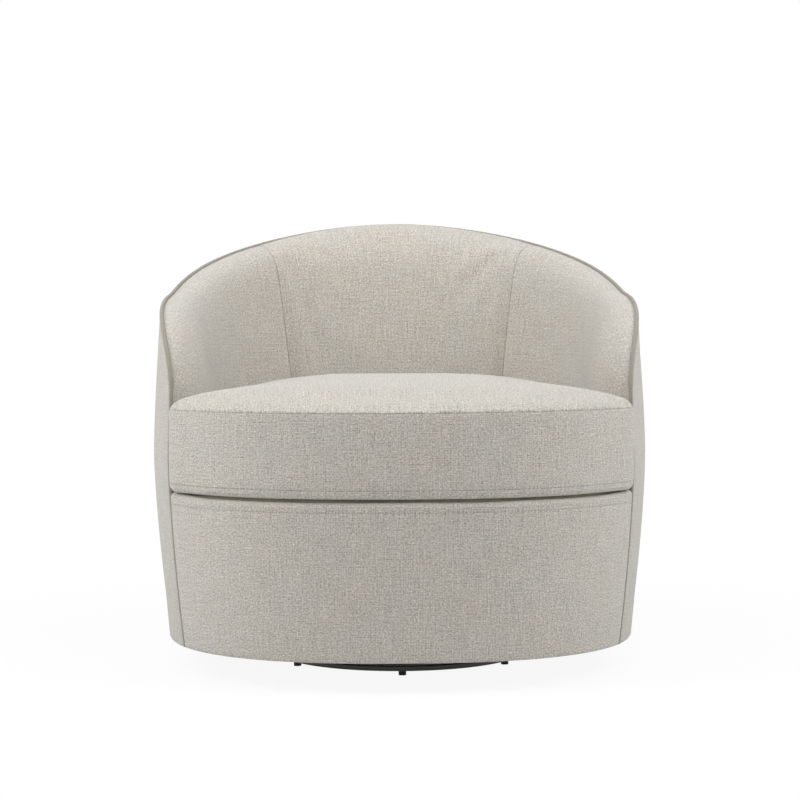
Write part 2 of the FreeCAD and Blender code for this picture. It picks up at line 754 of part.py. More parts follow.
def liner_front(angle):
    """The face that the foam lies on: radius at the foot and at the top rail."""
    foot = pad_inner_radius(angle) + foam_depth(angle)
    top = rail_inner_radius(angle) - 2 * gap - size("liner_thickness")
    return foot, top


def liner_back_foot(angle):
    return liner_front(angle)[0] + size("liner_thickness")


seat_posts = []
blocks = []
for turn in SEAT_POST_ANGLES:
    middle = (opening_radius(turn) + seat_ring_radius(turn)) / 2
    seat_posts.append(standing_box(turn, middle, size("seat_post_size"), size("seat_post_size"),
                                   base_top, seat_ring_bottom))
    blocks.append(corner_block(turn, middle - size("seat_post_size") / 2))
shaped("seat_posts", Part.makeCompound(seat_posts))

for label, side in (("right_front_post", -1), ("left_front_post", 1)):
    turn = side * size("post_angle")
    half_width = size("post_width") / 2
    outer = min(least(lambda angle: shell_radius(angle, base_top, FRAME_DEPTH), turn, half_width),
                least(rail_outer_radius, turn, half_width))
    middle = outer - size("post_depth") / 2
    top = min(values_across(rail_bottom, turn, half_width, middle)) - gap
    shaped(label, standing_box(turn, middle, size("post_depth"), size("post_width"), base_top, top))
    blocks.append(corner_block(turn, middle - size("post_depth") / 2))
shaped("corner_blocks", Part.makeCompound(blocks))


# Ribs, top rail and boards of the back and arms

def rib(angle):
    half_width = size("rib_thickness") / 2

    def outside(height):
        return least(lambda turn: shell_radius(turn, height, FRAME_DEPTH), angle, half_width), height

    top = min(values_across(rail_bottom, angle, half_width, rail_outer_radius(angle))) - gap
    belly = min(size("belly_height"), (base_top + top) / 2)
    outer_foot = outside(base_top)
    outer_belly = outside(belly)
    outer_top = (least(rail_outer_radius, angle, half_width), top)
    inner_top = (most(rail_inner_radius, angle, half_width), top)
    inner_shelf = (most(liner_back_foot, angle, half_width), pad_foot)
    ring_edge = most(seat_ring_radius, angle, half_width)
    shelf_edge = (min(ring_edge, outer_foot[0] - size("rib_thickness")), pad_foot)
    inner_foot = (shelf_edge[0], base_top)
    spans = [
        (outer_foot, outside((base_top + belly) / 2), outer_belly),
        (outer_belly, outside((belly + top) / 2), outer_top),
        (outer_top, inner_top),
        (inner_top, inner_shelf),
        (inner_shelf, shelf_edge),
        (shelf_edge, inner_foot),
        (inner_foot, outer_foot),
    ]
    turn = math.radians(angle)
    along = Vector(math.cos(turn), -math.sin(turn), 0)
    face = Part.Face(section(angle, spans))
    face.translate(along * (-size("rib_thickness") / 2))
    return face.extrude(along * size("rib_thickness"))


shaped("back_ribs", Part.makeCompound([rib(turn) for turn in BACK_RIB_ANGLES]))
shaped("arm_ribs", Part.makeCompound([rib(turn) for turn in ARM_RIB_ANGLES]))


def rail_section(angle):
    outer = rail_outer_radius(angle)
    inner = rail_inner_radius(angle)
    corners = [(outer, rail_bottom(angle)), (outer, rail_top(angle)), (inner, rail_top(angle)),
               (inner, rail_bottom(angle))]
    return list(zip(corners, corners[1:] + corners[:1]))


def liner_section(angle):
    foot, top = liner_front(angle)
    thickness = size("liner_thickness")
    corners = [(foot, pad_foot), (top, rail_top(angle)), (top + thickness, rail_top(angle)),
               (foot + thickness, pad_foot)]
    return list(zip(corners, corners[1:] + corners[:1]))


rail_end = size("rail_end_angle")
seam = size("panel_seam_angle")
back_angles = mirrored(angles_between(0.0, seam, STEP))
board_angles = arm_angles(seam, rail_end)
rail_angles = mirrored(angles_between(0.0, seam, STEP) + board_angles[1:])
shaped("top_rail", swept(rail_angles, rail_section))
shaped("back_liner_board", swept(back_angles, liner_section))
shaped("left_arm_liner_board", swept(board_angles, liner_section))
shaped("right_arm_liner_board", swept([-turn for turn in board_angles], liner_section))


# Pads and covers of the back and arms

def pad_curve(angle, inset):
    """The upholstered surface from the seat up, over the roll and out to the cord."""
    line = top_line(angle)
    outer = shell_radius(angle, line)
    roll_height = mixed(angle, size("back_roll_height"), size("arm_roll_height"), size("arm_end_roll_height"))
    roll_depth = mixed(angle, size("back_top_depth"), size("arm_top_depth"), size("arm_end_depth"))
    crest_depth = mixed(angle, size("back_crest_depth"), size("arm_crest_depth"), size("arm_end_crest_depth"))
    foot = (pad_inner_radius(angle) + inset, pad_foot)
    roll = (outer - roll_depth + inset, line - roll_height)
    crest = (outer - crest_depth, line - inset)
    end_height = cord_height(angle)
    end_radius = cord_centre_radius(angle, end_height) - CORD_RADIUS - 2 * gap
    end = (end_radius, end_height + size("cord_stand_out") - inset)
    middle = ((foot[0] + roll[0]) / 2 - size("pad_bulge"), (foot[1] + roll[1]) / 2)
    quarter = math.sqrt(0.5)
    over_roll = (roll[0] + (crest[0] - roll[0]) * (1 - quarter), roll[1] + (crest[1] - roll[1]) * quarter)
    over_crest = (crest[0] + (end[0] - crest[0]) * quarter, crest[1] - (crest[1] - end[1]) * (1 - quarter))
    return [(foot, middle, roll), (roll, over_roll, crest), (crest, over_crest, end)]


def reverse(spans):
    return [tuple(reversed(span)) for span in reversed(spans)]


def cover_section(angle):
    outside = pad_curve(angle, 0.0)
    inside = pad_curve(angle, size("cover_thickness"))
    end = (outside[-1][-1], inside[-1][-1])
    foot = (inside[0][0], outside[0][0])
    return outside + [end] + reverse(inside) + [foot]


def foam_section(angle):
    skin = pad_curve(angle, size("cover_thickness") + gap)
    end = skin[-1][-1]
    foot, top = liner_front(angle)
    ledge = rail_top(angle) + 2 * gap
    corners = [end, (end[0], ledge), (top - 2 * gap, ledge), (foot - 2 * gap, pad_foot), skin[0][0]]
    return skin + list(zip(corners, corners[1:]))


def front_pad_section(angle):
    skin = pad_curve(angle, size("cover_thickness") + 3 * gap)
    end = skin[-1][-1]
    heel = (shell_radius(angle, pad_foot, FRAME_DEPTH), pad_foot)
    corners = [end, heel, skin[0][0]]
    return skin + list(zip(corners, corners[1:]))


pad_start = size("arm_pad_angle")
foam_end = pad_start - math.degrees(gap / shell_radius(pad_start, size("deck_height")))
shaped("back_foam", swept(back_angles, foam_section))
shaped("left_arm_foam", swept(arm_angles(seam, foam_end), foam_section))
shaped("right_arm_foam", swept([-turn for turn in arm_angles(seam, foam_end)], foam_section))
pad_angles = arm_angles(pad_start, PAD_END_ANGLE)
shaped("left_arm_front_pad", swept(pad_angles, front_pad_section))
shaped("right_arm_front_pad", swept([-turn for turn in pad_angles], front_pad_section))
shaped("inside_back_cover", swept(back_angles, cover_section))
shaped("left_arm_cover", swept(arm_angles(seam, PAD_END_ANGLE), cover_section))
shaped("right_arm_cover", swept([-turn for turn in arm_angles(seam, PAD_END_ANGLE)], cover_section))


# Outer wrap, its backing board and tack strip

def layer(angle, heights, depth, thickness):
    """A curved upright layer: arcs up the outside, a line across, arcs down the inside."""
    outside = []
    inside = []
    for low, high in zip(heights, heights[1:]):
        middle = (low + high) / 2
        levels = (low, middle, high)
        outside.append(tuple((shell_radius(angle, height, depth), height) for height in levels))
        inside.append(tuple((shell_radius(angle, height, depth + thickness), height) for height in levels))
    top = (outside[-1][-1], inside[-1][-1])
    bottom = (inside[0][0], outside[0][0])
    return outside + [top] + reverse(inside) + [bottom]


wrap_split = min(size("belly_height"), size("arm_front_height") * 0.8)


def wrap_top(angle):
    """The height just under the cord, which the slope of its line brings lower near the corner."""
    reach = CORD_RADIUS + size("cord_clearance")
    radius = cord_centre_radius(angle, cord_height(angle))
    heights = []
    for index in range(-8, 9):
        along = reach * index / 8
        beside = abs(angle) + math.degrees(along / radius)
        heights.append(cord_height(beside) - math.sqrt(reach ** 2 - along ** 2))
    return min(heights)


def liner_top(angle):
    return wrap_top(angle) - size("tack_strip_width")


def wrap_section(angle):
    return layer(angle, (size("skirt_height"), wrap_split, wrap_top(angle)), 0.0, size("wrap_thickness"))


def outer_liner_section(angle):
    heights = (base_bottom, wrap_split, liner_top(angle))
    return layer(angle, heights, size("wrap_thickness") + gap, size("liner_thickness"))


def strip_band_section(angle):
    """The layer that the tack strip is the top edge of."""
    heights = (base_bottom, wrap_split, wrap_top(angle))
    return layer(angle, heights, size("wrap_thickness") + gap, size("tack_strip_thickness"))


def below_strip_section(angle):
    heights = (size("skirt_height"), wrap_split, liner_top(angle) + gap)
    return layer(angle, heights, size("wrap_thickness"), size("tack_strip_thickness") + 2 * gap)


wrap_angles = mirrored(angles_between(0.0, seam, STEP) + arm_angles(seam, PAD_END_ANGLE)[1:])
shaped("outer_wrap", swept(wrap_angles, wrap_section))
shaped("outer_liner_board", swept(wrap_angles, outer_liner_section))
strip_angles = mirrored(angles_between(0.0, size("arm_taper_angle"), STEP))
strip_band = swept(strip_angles, strip_band_section)
shaped("tack_strip", strip_band.cut(swept(strip_angles, below_strip_section)))


# Apron: cover with a lip over its pad, and the front panel behind

def apron_cover_section(angle):
    thickness = size("wrap_thickness")
    top = size("deck_height")
    sides = layer(angle, (size("skirt_height"), top), 0.0, thickness)
    outside = sides[0]
    lip_radius = shell_radius(angle, top, FRONT_PANEL_DEPTH - gap)
    middle = (size("skirt_height") + top - thickness) / 2
    bottom_edge = sides[3]
    corners = [outside[-1], (lip_radius, top), (lip_radius, top - thickness),
               (shell_radius(angle, top - thickness, thickness), top - thickness)]
    inside = (corners[-1], (shell_radius(angle, middle, thickness), middle), bottom_edge[0])
    return [outside] + list(zip(corners, corners[1:])) + [inside, bottom_edge]


def apron_pad_section(angle):
    heights = (base_bottom, size("deck_height") - size("wrap_thickness") - gap)
    return layer(angle, heights, size("wrap_thickness") + gap, size("apron_pad_thickness"))


def front_panel_section(angle):
    return layer(angle, (base_top, seat_ring_top), FRONT_PANEL_DEPTH, size("front_panel_thickness"))


apron_angles = angles_between(APRON_ANGLE, 360.0 - APRON_ANGLE, STEP)
shaped("apron_cover", swept(apron_angles, apron_cover_section))
shaped("apron_pad", swept(apron_angles, apron_pad_section))
shaped("front_panel", swept(apron_angles, front_panel_section))


# Welt cord: straight runs joined by tangent arcs, up one corner, along the top line and down the other

def cord_point(angle, height):
    return at(angle, cord_centre_radius(angle, height), height)


def cord_path():
    corner = size("corner_angle")
    bottom = size("skirt_height") + CORD_RADIUS
    turn_height = cord_height(corner)
    rise = [bottom + (turn_height - bottom) * index / 8 for index in range(8)]
    side = [cord_point(corner, height) for height in rise]
    count = 12
    start = size("arm_curve_angle")
    for index in range(count + 1):
        share = math.cos(math.radians(90.0 * index / count)) ** 0.8
        angle = start + (corner - start) * share
        side.append(cord_point(angle, cord_height(angle)))
    for angle in angles_between(start, 0.0, 5.0)[1:-1]:
        side.append(cord_point(angle, cord_height(angle)))
    middle = [cord_point(0.0, cord_height(0.0))]
    other = [Vector(-point.x, point.y, point.z) for point in reversed(side)]
    return side + middle + other


def rounded_path(points):
    """A wire of straight runs with the largest tangent arc that fits at each point."""
    edges = []
    start = points[0]
    for before, corner, after in zip(points, points[1:], points[2:]):
        incoming = (corner - before).normalize()
        outgoing = (after - corner).normalize()
        turn = incoming.getAngle(outgoing)
        if turn < math.radians(0.1):
            continue
        reach = 0.45 * min((corner - before).Length, (after - corner).Length)
        radius = reach / math.tan(turn / 2)
        arc_start = corner - incoming * reach
        arc_end = corner + outgoing * reach
        inward = (outgoing - incoming).normalize()
        arc_middle = corner + inward * (radius * (1 / math.cos(turn / 2) - 1))
        edges.append(Part.LineSegment(start, arc_start).toShape())
        edges.append(Part.Arc(arc_start, arc_middle, arc_end).toShape())
        start = arc_end
    edges.append(Part.LineSegment(start, points[-1]).toShape())
    return Part.Wire(edges)


def tube(path, radius):
    first = path.Edges[0]
    start = first.valueAt(first.FirstParameter)
    circle = Part.Wire([Part.makeCircle(radius, start, first.tangentAt(first.FirstParameter))])
    return path.makePipeShell([circle], True, False)


cord_wire = rounded_path(cord_path())
cord_shape = tube(cord_wire, CORD_RADIUS)
shaped("welt_cord", cord_shape)
cord_volume = math.pi * CORD_RADIUS ** 2 * cord_wire.Length
print("welt cord volume %.0f, section times length %.0f" % (cord_shape.Volume, cord_volume))


# Sinuous springs, their clips and the wires that tie them

def spring_ends(across):
    half = size("seat_opening_width") / 2
    power = size("outline_power")
    share = (1 - (abs(across) / half) ** power) ** (1 / power)
    hook = size("spring_clip_width") / 2 + 2 * size("spring_wire")
    return -size("seat_opening_front") * share - hook, size("seat_opening_rear") * share + hook


def spring_path(across):
    front, rear = spring_ends(across)
    runs = int(round((rear - front) / (2 * size("spring_loop_radius"))))
    loop = (rear - front) / runs / 2
    reach = size("spring_loop_width") / 2 - loop
    edges = []
    side = 1
    for index in range(runs + 1):
        along = front + 2 * loop * index
        start = Vector(across - side * reach, along, spring_height)
        end = Vector(across + side * reach, along, spring_height)
        edges.append(Part.LineSegment(start, end).toShape())
        if index < runs:
            quarter = Vector(end.x + side * loop, along + loop, spring_height)
            after = Vector(end.x, along + 2 * loop, spring_height)
            bend = loop * math.sqrt(0.5)
            first_middle = Vector(end.x + side * bend, along + loop - bend, spring_height)
            second_middle = Vector(end.x + side * bend, along + loop + bend, spring_height)
            edges.append(Part.Arc(end, first_middle, quarter).toShape())
            edges.append(Part.Arc(quarter, second_middle, after).toShape())
        side = -side
    return Part.Wire(edges)


springs = []
clips = []
for index in range(SPRING_COUNT):
    across = (index - (SPRING_COUNT - 1) / 2) * size("spring_pitch")
    springs.append(tube(spring_path(across), size("spring_wire") / 2))
    for along in spring_ends(across):
        clip_length = size("spring_clip_length")
        clip_width = size("spring_clip_width")
        corner = Vector(across - clip_length / 2, along - clip_width / 2, seat_ring_top)
        clip = Part.makeBox(clip_length, clip_width, size("spring_clip_height"), corner)
        tunnel = Part.makeCylinder(size("spring_wire") / 2 + gap / 2, 2 * size("spring_clip_length"),
                                   Vector(across - size("spring_clip_length"), along, spring_height), Vector(1, 0, 0))
        clips.append(clip.cut(tunnel))
shaped("seat_springs", Part.makeCompound(springs))
shaped("spring_clips", Part.makeCompound(clips))

tie_wires = []
for index, side in enumerate((-0.5, 0.5)):
    wire = cylinder("tie_wire_%d" % index, "sizes.tie_wire / 2", "sizes.tie_wire_length",
                    "-1 * sizes.tie_wire_length / 2", "%.1f * sizes.tie_wire_spacing" % side)
    wire.setExpression("Placement.Base.z", "sizes.deck_height - sizes.deck_cloth_thickness - sizes.deck_foam_thickness"
                       " - sizes.felt_thickness - 3 * sizes.skin_gap - sizes.tie_wire / 2")
    wire.setExpression("Placement.Rotation.Angle", "90 deg")
    wire.setExpression("Placement.Rotation.Axis.x", "0")
    wire.setExpression("Placement.Rotation.Axis.y", "1")
    wire.setExpression("Placement.Rotation.Axis.z", "0")
    tie_wires.append(wire)
compound("spring_tie_wires", tie_wires)


# Deck under the cushion

def pad_face_radius(angle, height):
    """Radius of the inside face of the upholstery at a height below the roll."""
    foot, middle, roll = pad_curve(angle, 0.0)[0]
    share = (height - foot[1]) / (roll[1] - foot[1])
    return foot[0] + (roll[0] - foot[0]) * share - 4 * size("pad_bulge") * share * (1 - share)


def deck_radius(angle):
    turn = min(abs(angle), PAD_END_ANGLE)
    rear = min(pad_face_radius(turn, pad_foot), pad_face_radius(turn, size("deck_height"))) - 2 * gap
    front = shell_radius(angle, pad_foot, FRONT_PANEL_DEPTH)
    share = (abs(angle) - PAD_END_ANGLE) / (APRON_ANGLE + 1.0 - PAD_END_ANGLE)
    return rear + (front - rear) * min(max(share, 0.0), 1.0)


shaped("deck_felt", plate(deck_radius, felt_bottom, size("felt_thickness")))
shaped("deck_foam", plate(deck_radius, foam_bottom, size("deck_foam_thickness")))
shaped("deck_cloth", plate(deck_radius, cloth_bottom, size("deck_cloth_thickness")))


# Loose seat cushion: foam core, three panels, zipper

def pad_clear_radius(angle):
    inside = pad_curve(angle, 0.0)[0]
    return min(radius for radius, height in inside)


def cushion_radius(angle):
    turn = abs(angle)
    end = APRON_ANGLE + 1.0
    front = shell_radius(max(turn, end), size("belly_height")) + size("cushion_stand_out")
    if turn >= end:
        return front
    side = math.sin(math.radians(min(turn, 90))) ** 2
    room = size("cushion_rear_gap") + (size("cushion_side_gap") - size("cushion_rear_gap")) * side
    start = size("arm_taper_angle")
    shift = size("cushion_end_angle") * min(max((turn - start) / 8.0, 0.0), 1.0)
    rear = pad_clear_radius(min(turn, PAD_END_ANGLE) - shift) - room
    share = max((turn - PAD_END_ANGLE) / (end - PAD_END_ANGLE), 0.0)
    return rear + (front - rear) * share


def crown_oval(angle):
    reach = cushion_radius(0.0) if abs(angle) < 90 else cushion_radius(180.0)
    return oval_radius(angle, cushion_radius(90.0), reach)


def cushion_wire(height, grow, scale=1.0, even=0.0):
    """Outline of the cushion at a height, scaled towards an even oval near the crown."""
    def radius_at(angle):
        own = cushion_radius(angle)
        return scale * (own + (crown_oval(angle) - own) * even) + grow
    return ring_wire(radius_at, height)


box_low = cushion_bottom + size("cushion_edge_height")
box_high = box_low + size("cushion_box_height")
bulge = size("cushion_side_bulge")
crown = size("cushion_crown")
fabric = size("cushion_fabric")


def bottom_levels(inset):
    edge = size("cushion_edge_draw_in")
    low = cushion_bottom + inset
    return [(low, -edge - inset, 1.0, 0.0), (low + (box_low - low) * 0.4, -edge * 0.35 - inset, 1.0, 0.0),
            (box_low, -inset, 1.0, 0.0)]


def box_levels(inset):
    levels = []
    for share in (0.0, 0.25, 0.5, 0.75, 1.0):
        height = box_low + (box_high - box_low) * share
        levels.append((height, bulge * 4 * share * (1 - share) - inset, 1.0, 0.0))
    return levels


def crown_levels(inset):
    levels = [(box_high, -inset, 1.0, 0.0)]
    for rise, grow, scale, even in ((0.14, -3.0, 1.0, 0.0), (0.28, -9.0, 1.0, 0.05), (0.45, -8.0, 0.95, 0.2),
                                    (0.63, -2.0, 0.86, 0.45), (0.80, 0.0, 0.74, 0.7), (0.93, 0.0, 0.55, 0.9),
                                    (1.0, 0.0, 0.3, 1.0)):
        levels.append((box_high + (crown - inset) * rise, grow - inset, scale, even))
    return levels


def stacked(levels):
    return Part.makeLoft([cushion_wire(*level) for level in levels], True, True)


shaped("cushion_bottom_panel", stacked(bottom_levels(0.0)).cut(stacked(bottom_levels(fabric))))
shaped("cushion_boxing", stacked(box_levels(0.0)).cut(stacked(box_levels(fabric))))
shaped("cushion_top_panel", stacked(crown_levels(0.0)).cut(stacked(crown_levels(fabric))))
core_inset = fabric + 2 * gap
core_levels = bottom_levels(core_inset) + box_levels(core_inset)[1:] + crown_levels(core_inset)[1:]
shaped("cushion_core", stacked(core_levels))


# Zipper on the rear boxing, on an arc about an upright axis, so that its slider can run along it

zipper_height = (box_low + box_high) / 2
zip_turn = math.degrees(math.asin(size("zipper_half_length") / (cushion_radius(0.0) + bulge)))


def boxing_point(angle):
    return at(angle, cushion_radius(angle) + bulge, zipper_height)


zip_middle = boxing_point(0.0)
zip_side = boxing_point(zip_turn)
sag = zip_middle.y - zip_side.y
zip_radius = (zip_side.x ** 2 + sag ** 2) / (2 * sag)
zip_axis_y = zip_middle.y - zip_radius
print("zipper axis y %.4f, radius %.4f" % (zip_axis_y, zip_radius))


def band(inner, thickness, first, last, bottom, height):
    """A curved strip about the zipper axis, between two angles in degrees."""
    def point(radius, turn):
        return Vector(radius * math.sin(turn), zip_axis_y + radius * math.cos(turn), bottom)
    outer = inner + thickness
    start = math.radians(first)
    end = math.radians(last)
    middle = (start + end) / 2
    edges = [
        Part.Arc(point(inner, start), point(inner, middle), point(inner, end)).toShape(),
        Part.LineSegment(point(inner, end), point(outer, end)).toShape(),
        Part.Arc(point(outer, end), point(outer, middle), point(outer, start)).toShape(),
        Part.LineSegment(point(outer, start), point(inner, start)).toShape(),
    ]
    return Part.Face(Part.Wire(edges)).extrude(Vector(0, 0, height))


half_turn = math.degrees(math.asin(size("zipper_half_length") / zip_radius))
tape_inner = zip_radius + size("zipper_stand_off")
tape_outer = tape_inner + size("zipper_tape_thickness")
shaped("zipper_tape", band(tape_inner, size("zipper_tape_thickness"), -half_turn, half_turn,
                           zipper_height - size("zipper_tape_width") / 2, size("zipper_tape_width")))
coil_half = size("zipper_coil_width") / 2
shaped("zipper_coil", band(tape_outer, size("zipper_coil_thickness"), -half_turn, half_turn,
                           zipper_height - coil_half, 2 * coil_half))

slider_turn = math.degrees(size("slider_length") / zip_radius)
slider_last = half_turn - slider_turn / 2
slider_first = slider_last - slider_turn
slider_gap = size("slider_gap")
slider_outer = size("zipper_coil_thickness") + slider_gap + size("slider_thickness") - slider_gap
slider_bottom = zipper_height - size("slider_width") / 2
slider_block = band(tape_outer + slider_gap, slider_outer, slider_first, slider_last, slider_bottom,
                    size("slider_width"))
slider_channel = band(tape_outer, size("zipper_coil_thickness") + slider_gap, slider_first - slider_turn,
                      slider_last + slider_turn, zipper_height - coil_half - slider_gap,
                      2 * (coil_half + slider_gap))
shaped("zipper_slider", slider_block.cut(slider_channel))
print("zipper slider travel %.3f degrees" % (slider_first + half_turn - slider_turn / 2))

doc.recompute()
for obj in doc.Objects:
    if "Invalid" in obj.State or "Error" in obj.State:
        raise RuntimeError("%s is %s" % (obj.Label, obj.State))
for obj in sub_parts:
    if obj.Shape.isNull() or not obj.Shape.isValid() or not obj.Shape.Solids:
        raise RuntimeError("%s has no valid solid" % obj.Label)

os.makedirs("parts", exist_ok=True)
for obj in sub_parts:
    obj.Shape.exportStep("parts/%s.step" % obj.Label)
print("%d sub-parts, %d solids" % (len(sub_parts), sum(len(obj.Shape.Solids) for obj in sub_parts)))
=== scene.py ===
import json
import math

import bmesh
import bpy
import numpy as np
from mathutils import Euler, Matrix, Vector, noise


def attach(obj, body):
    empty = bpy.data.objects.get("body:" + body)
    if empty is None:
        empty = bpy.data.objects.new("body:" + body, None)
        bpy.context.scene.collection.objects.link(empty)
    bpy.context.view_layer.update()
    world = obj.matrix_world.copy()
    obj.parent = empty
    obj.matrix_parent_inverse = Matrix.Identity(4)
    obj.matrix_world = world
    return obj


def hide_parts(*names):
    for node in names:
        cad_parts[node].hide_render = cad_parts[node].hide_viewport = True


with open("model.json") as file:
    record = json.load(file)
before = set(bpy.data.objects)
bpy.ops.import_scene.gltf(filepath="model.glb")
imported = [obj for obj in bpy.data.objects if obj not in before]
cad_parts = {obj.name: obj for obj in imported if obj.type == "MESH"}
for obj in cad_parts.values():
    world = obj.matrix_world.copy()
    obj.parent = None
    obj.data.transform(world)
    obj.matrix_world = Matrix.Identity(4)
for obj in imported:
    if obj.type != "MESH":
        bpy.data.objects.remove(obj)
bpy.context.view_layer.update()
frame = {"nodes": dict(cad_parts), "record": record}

# Sizes in millimetres and angles in degrees, 0 at the middle of the back, as in the frame

CHAIR_WIDTH, CHAIR_DEPTH, OUTLINE_POWER = 800.0, 790.0, 2.4
SKIRT_HEIGHT, SKIRT_DRAW_IN = 46.0, 25.0
BELLY_HEIGHT, BACK_HEIGHT, BACK_DRAW_IN, DRAW_IN_POWER = 340.0, 727.5, 30.0, 1.5
CORNER_ANGLE = 120.4
ARM_HEIGHT, ARM_FRONT_HEIGHT = 598.0, 423.0
RISE_ANGLE, RISE_BLEND = 79.0, 5.0
ARM_CURVE_ANGLE, ARM_CURVE_POWER = 75.0, 2.2
SEAT_WIDTH, SEAT_REAR_REACH = 596.0, 222.0
ARM_TAPER_ANGLE, PAD_FOOT = 106.0, 245.5
CORD_RADIUS, CORD_STAND_OUT, CREST_RISE = 3.2, 1.0, 5.0
PANEL_SEAM_ANGLE = 40.0
DECK_HEIGHT = 290.0
CUSHION_BOTTOM, CUSHION_LOW_SEAM, CUSHION_TOP_SEAM = 290.4, 304.0, 418.0
BACK_ROLL_DROP, ARM_ROLL_DROP, END_ROLL_DROP = 55.0, 45.0, 6.0
BACK_ROLL_DEPTH, ARM_ROLL_DEPTH = 78.0, 70.0
BACK_CREST_DEPTH, ARM_CREST_DEPTH = 28.0, 22.0
SEAM_RADIUS = 330.0
FAR_FROM_SEAM = 40.0
HEM_ROWS = 4
APRON_ROLL, APRON_DIP = 9.0, 3.2
PLAN_REACH = 60.0
VOXEL, QUICK_VOXEL = 0.0055, 0.009
MM = 0.001


def oval_radius(angle, half_width, half_depth):
    turn = math.radians(angle)
    across = abs(math.sin(turn)) / half_width
    along = abs(math.cos(turn)) / half_depth
    return (across ** OUTLINE_POWER + along ** OUTLINE_POWER) ** (-1.0 / OUTLINE_POWER)


def draw_in(height):
    if height < BELLY_HEIGHT:
        share = (BELLY_HEIGHT - height) / (BELLY_HEIGHT - SKIRT_HEIGHT)
        return SKIRT_DRAW_IN * share ** DRAW_IN_POWER
    share = (height - BELLY_HEIGHT) / (BACK_HEIGHT - BELLY_HEIGHT)
    return BACK_DRAW_IN * share ** DRAW_IN_POWER


def shell_radius(angle, height, depth=0.0):
    return oval_radius(angle, CHAIR_WIDTH / 2, CHAIR_DEPTH / 2) - draw_in(height) - depth


CORD_ANGLE = math.degrees((CORD_RADIUS + 0.3) / oval_radius(CORNER_ANGLE, CHAIR_WIDTH / 2, CHAIR_DEPTH / 2))
PAD_END_ANGLE = CORNER_ANGLE - CORD_ANGLE
APRON_ANGLE = CORNER_ANGLE + CORD_ANGLE


def top_line(angle):
    turn = abs(angle)
    rise = BACK_HEIGHT - ARM_HEIGHT
    wave = rise * math.cos(math.radians(90 * turn / RISE_ANGLE))
    lift = (wave + math.hypot(wave, 2 * RISE_BLEND)) / 2
    lift_at_back = (rise + math.hypot(rise, 2 * RISE_BLEND)) / 2
    share = min(max((turn - ARM_CURVE_ANGLE) / (CORNER_ANGLE - ARM_CURVE_ANGLE), 0.0), 1.0)
    arm = (1 - share ** ARM_CURVE_POWER) ** (1 / ARM_CURVE_POWER)
    return ARM_FRONT_HEIGHT + (ARM_HEIGHT - ARM_FRONT_HEIGHT) * arm + lift - (lift_at_back - rise)


def cord_height(angle):
    return top_line(angle) - CREST_RISE


def cord_centre_radius(angle, height):
    return shell_radius(angle, height) + CORD_STAND_OUT - CORD_RADIUS


def taper(angle):
    share = min(max((abs(angle) - ARM_TAPER_ANGLE) / (PAD_END_ANGLE - ARM_TAPER_ANGLE), 0.0), 1.0)
    return math.sqrt(1 - share ** 2)


def mixed(angle, at_back, at_arm, at_end):
    side = math.sin(math.radians(min(abs(angle), 90))) ** 2
    value = at_back + (at_arm - at_back) * side
    return at_end + (value - at_end) * taper(angle)


def seat_radius(angle):
    reach = SEAT_REAR_REACH if abs(angle) < 90 else CHAIR_DEPTH / 2
    return oval_radius(angle, SEAT_WIDTH / 2, reach)


def pad_inner_radius(angle, end_depth):
    full = shell_radius(angle, PAD_FOOT) - seat_radius(angle)
    return shell_radius(angle, PAD_FOOT) - end_depth - (full - end_depth) * taper(angle)


def at(angle, radius, height):
    turn = math.radians(angle)
    return Vector((radius * math.sin(turn), radius * math.cos(turn), height))


def arc_through(first, middle, last, count):
    """Points on the circular arc through three (radius, height) points, the last one left out."""
    (ax, ay), (bx, by), (cx, cy) = first, middle, last
    d = 2 * (ax * (by - cy) + bx * (cy - ay) + cx * (ay - by))
    if abs(d) < 1e-6:
        return [(ax + (cx - ax) * i / count, ay + (cy - ay) * i / count) for i in range(count)]
    sa, sb, sc = ax * ax + ay * ay, bx * bx + by * by, cx * cx + cy * cy
    ux = (sa * (by - cy) + sb * (cy - ay) + sc * (ay - by)) / d
    uy = (sa * (cx - bx) + sb * (ax - cx) + sc * (bx - ax)) / d
    start = math.atan2(ay - uy, ax - ux)
    half = math.atan2(by - uy, bx - ux) - start
    half = (half + math.pi) % (2 * math.pi) - math.pi
    whole = math.atan2(cy - uy, cx - ux) - start
    whole = (whole + math.pi) % (2 * math.pi) - math.pi
    if whole * half < 0:
        whole += math.copysign(2 * math.pi, half)
    radius = math.hypot(ax - ux, ay - uy)
    turns = [start + whole * i / count for i in range(count)]
    return [(ux + radius * math.cos(turn), uy + radius * math.sin(turn)) for turn in turns]


# Meshes with metric weave coordinates

def add_vectors(mesh, name, values):
    attribute = mesh.attributes.new(name, "FLOAT_VECTOR", "POINT")
    attribute.data.foreach_set("vector", np.asarray(values, np.float32).ravel())


def add_floats(mesh, name, values):
    attribute = mesh.attributes.new(name, "FLOAT", "POINT")
    attribute.data.foreach_set("value", np.asarray(values, np.float32).ravel())


def linked(name, mesh):
    obj = bpy.data.objects.new(name, mesh)
    bpy.context.scene.collection.objects.link(obj)
    return obj


def grid_faces(columns, rows):
    faces = []
    for i in range(columns - 1):
        for j in range(rows - 1):
            a = i * rows + j
            b = (i + 1) * rows + j
            faces.append((a, b, b + 1, a + 1))
    return faces


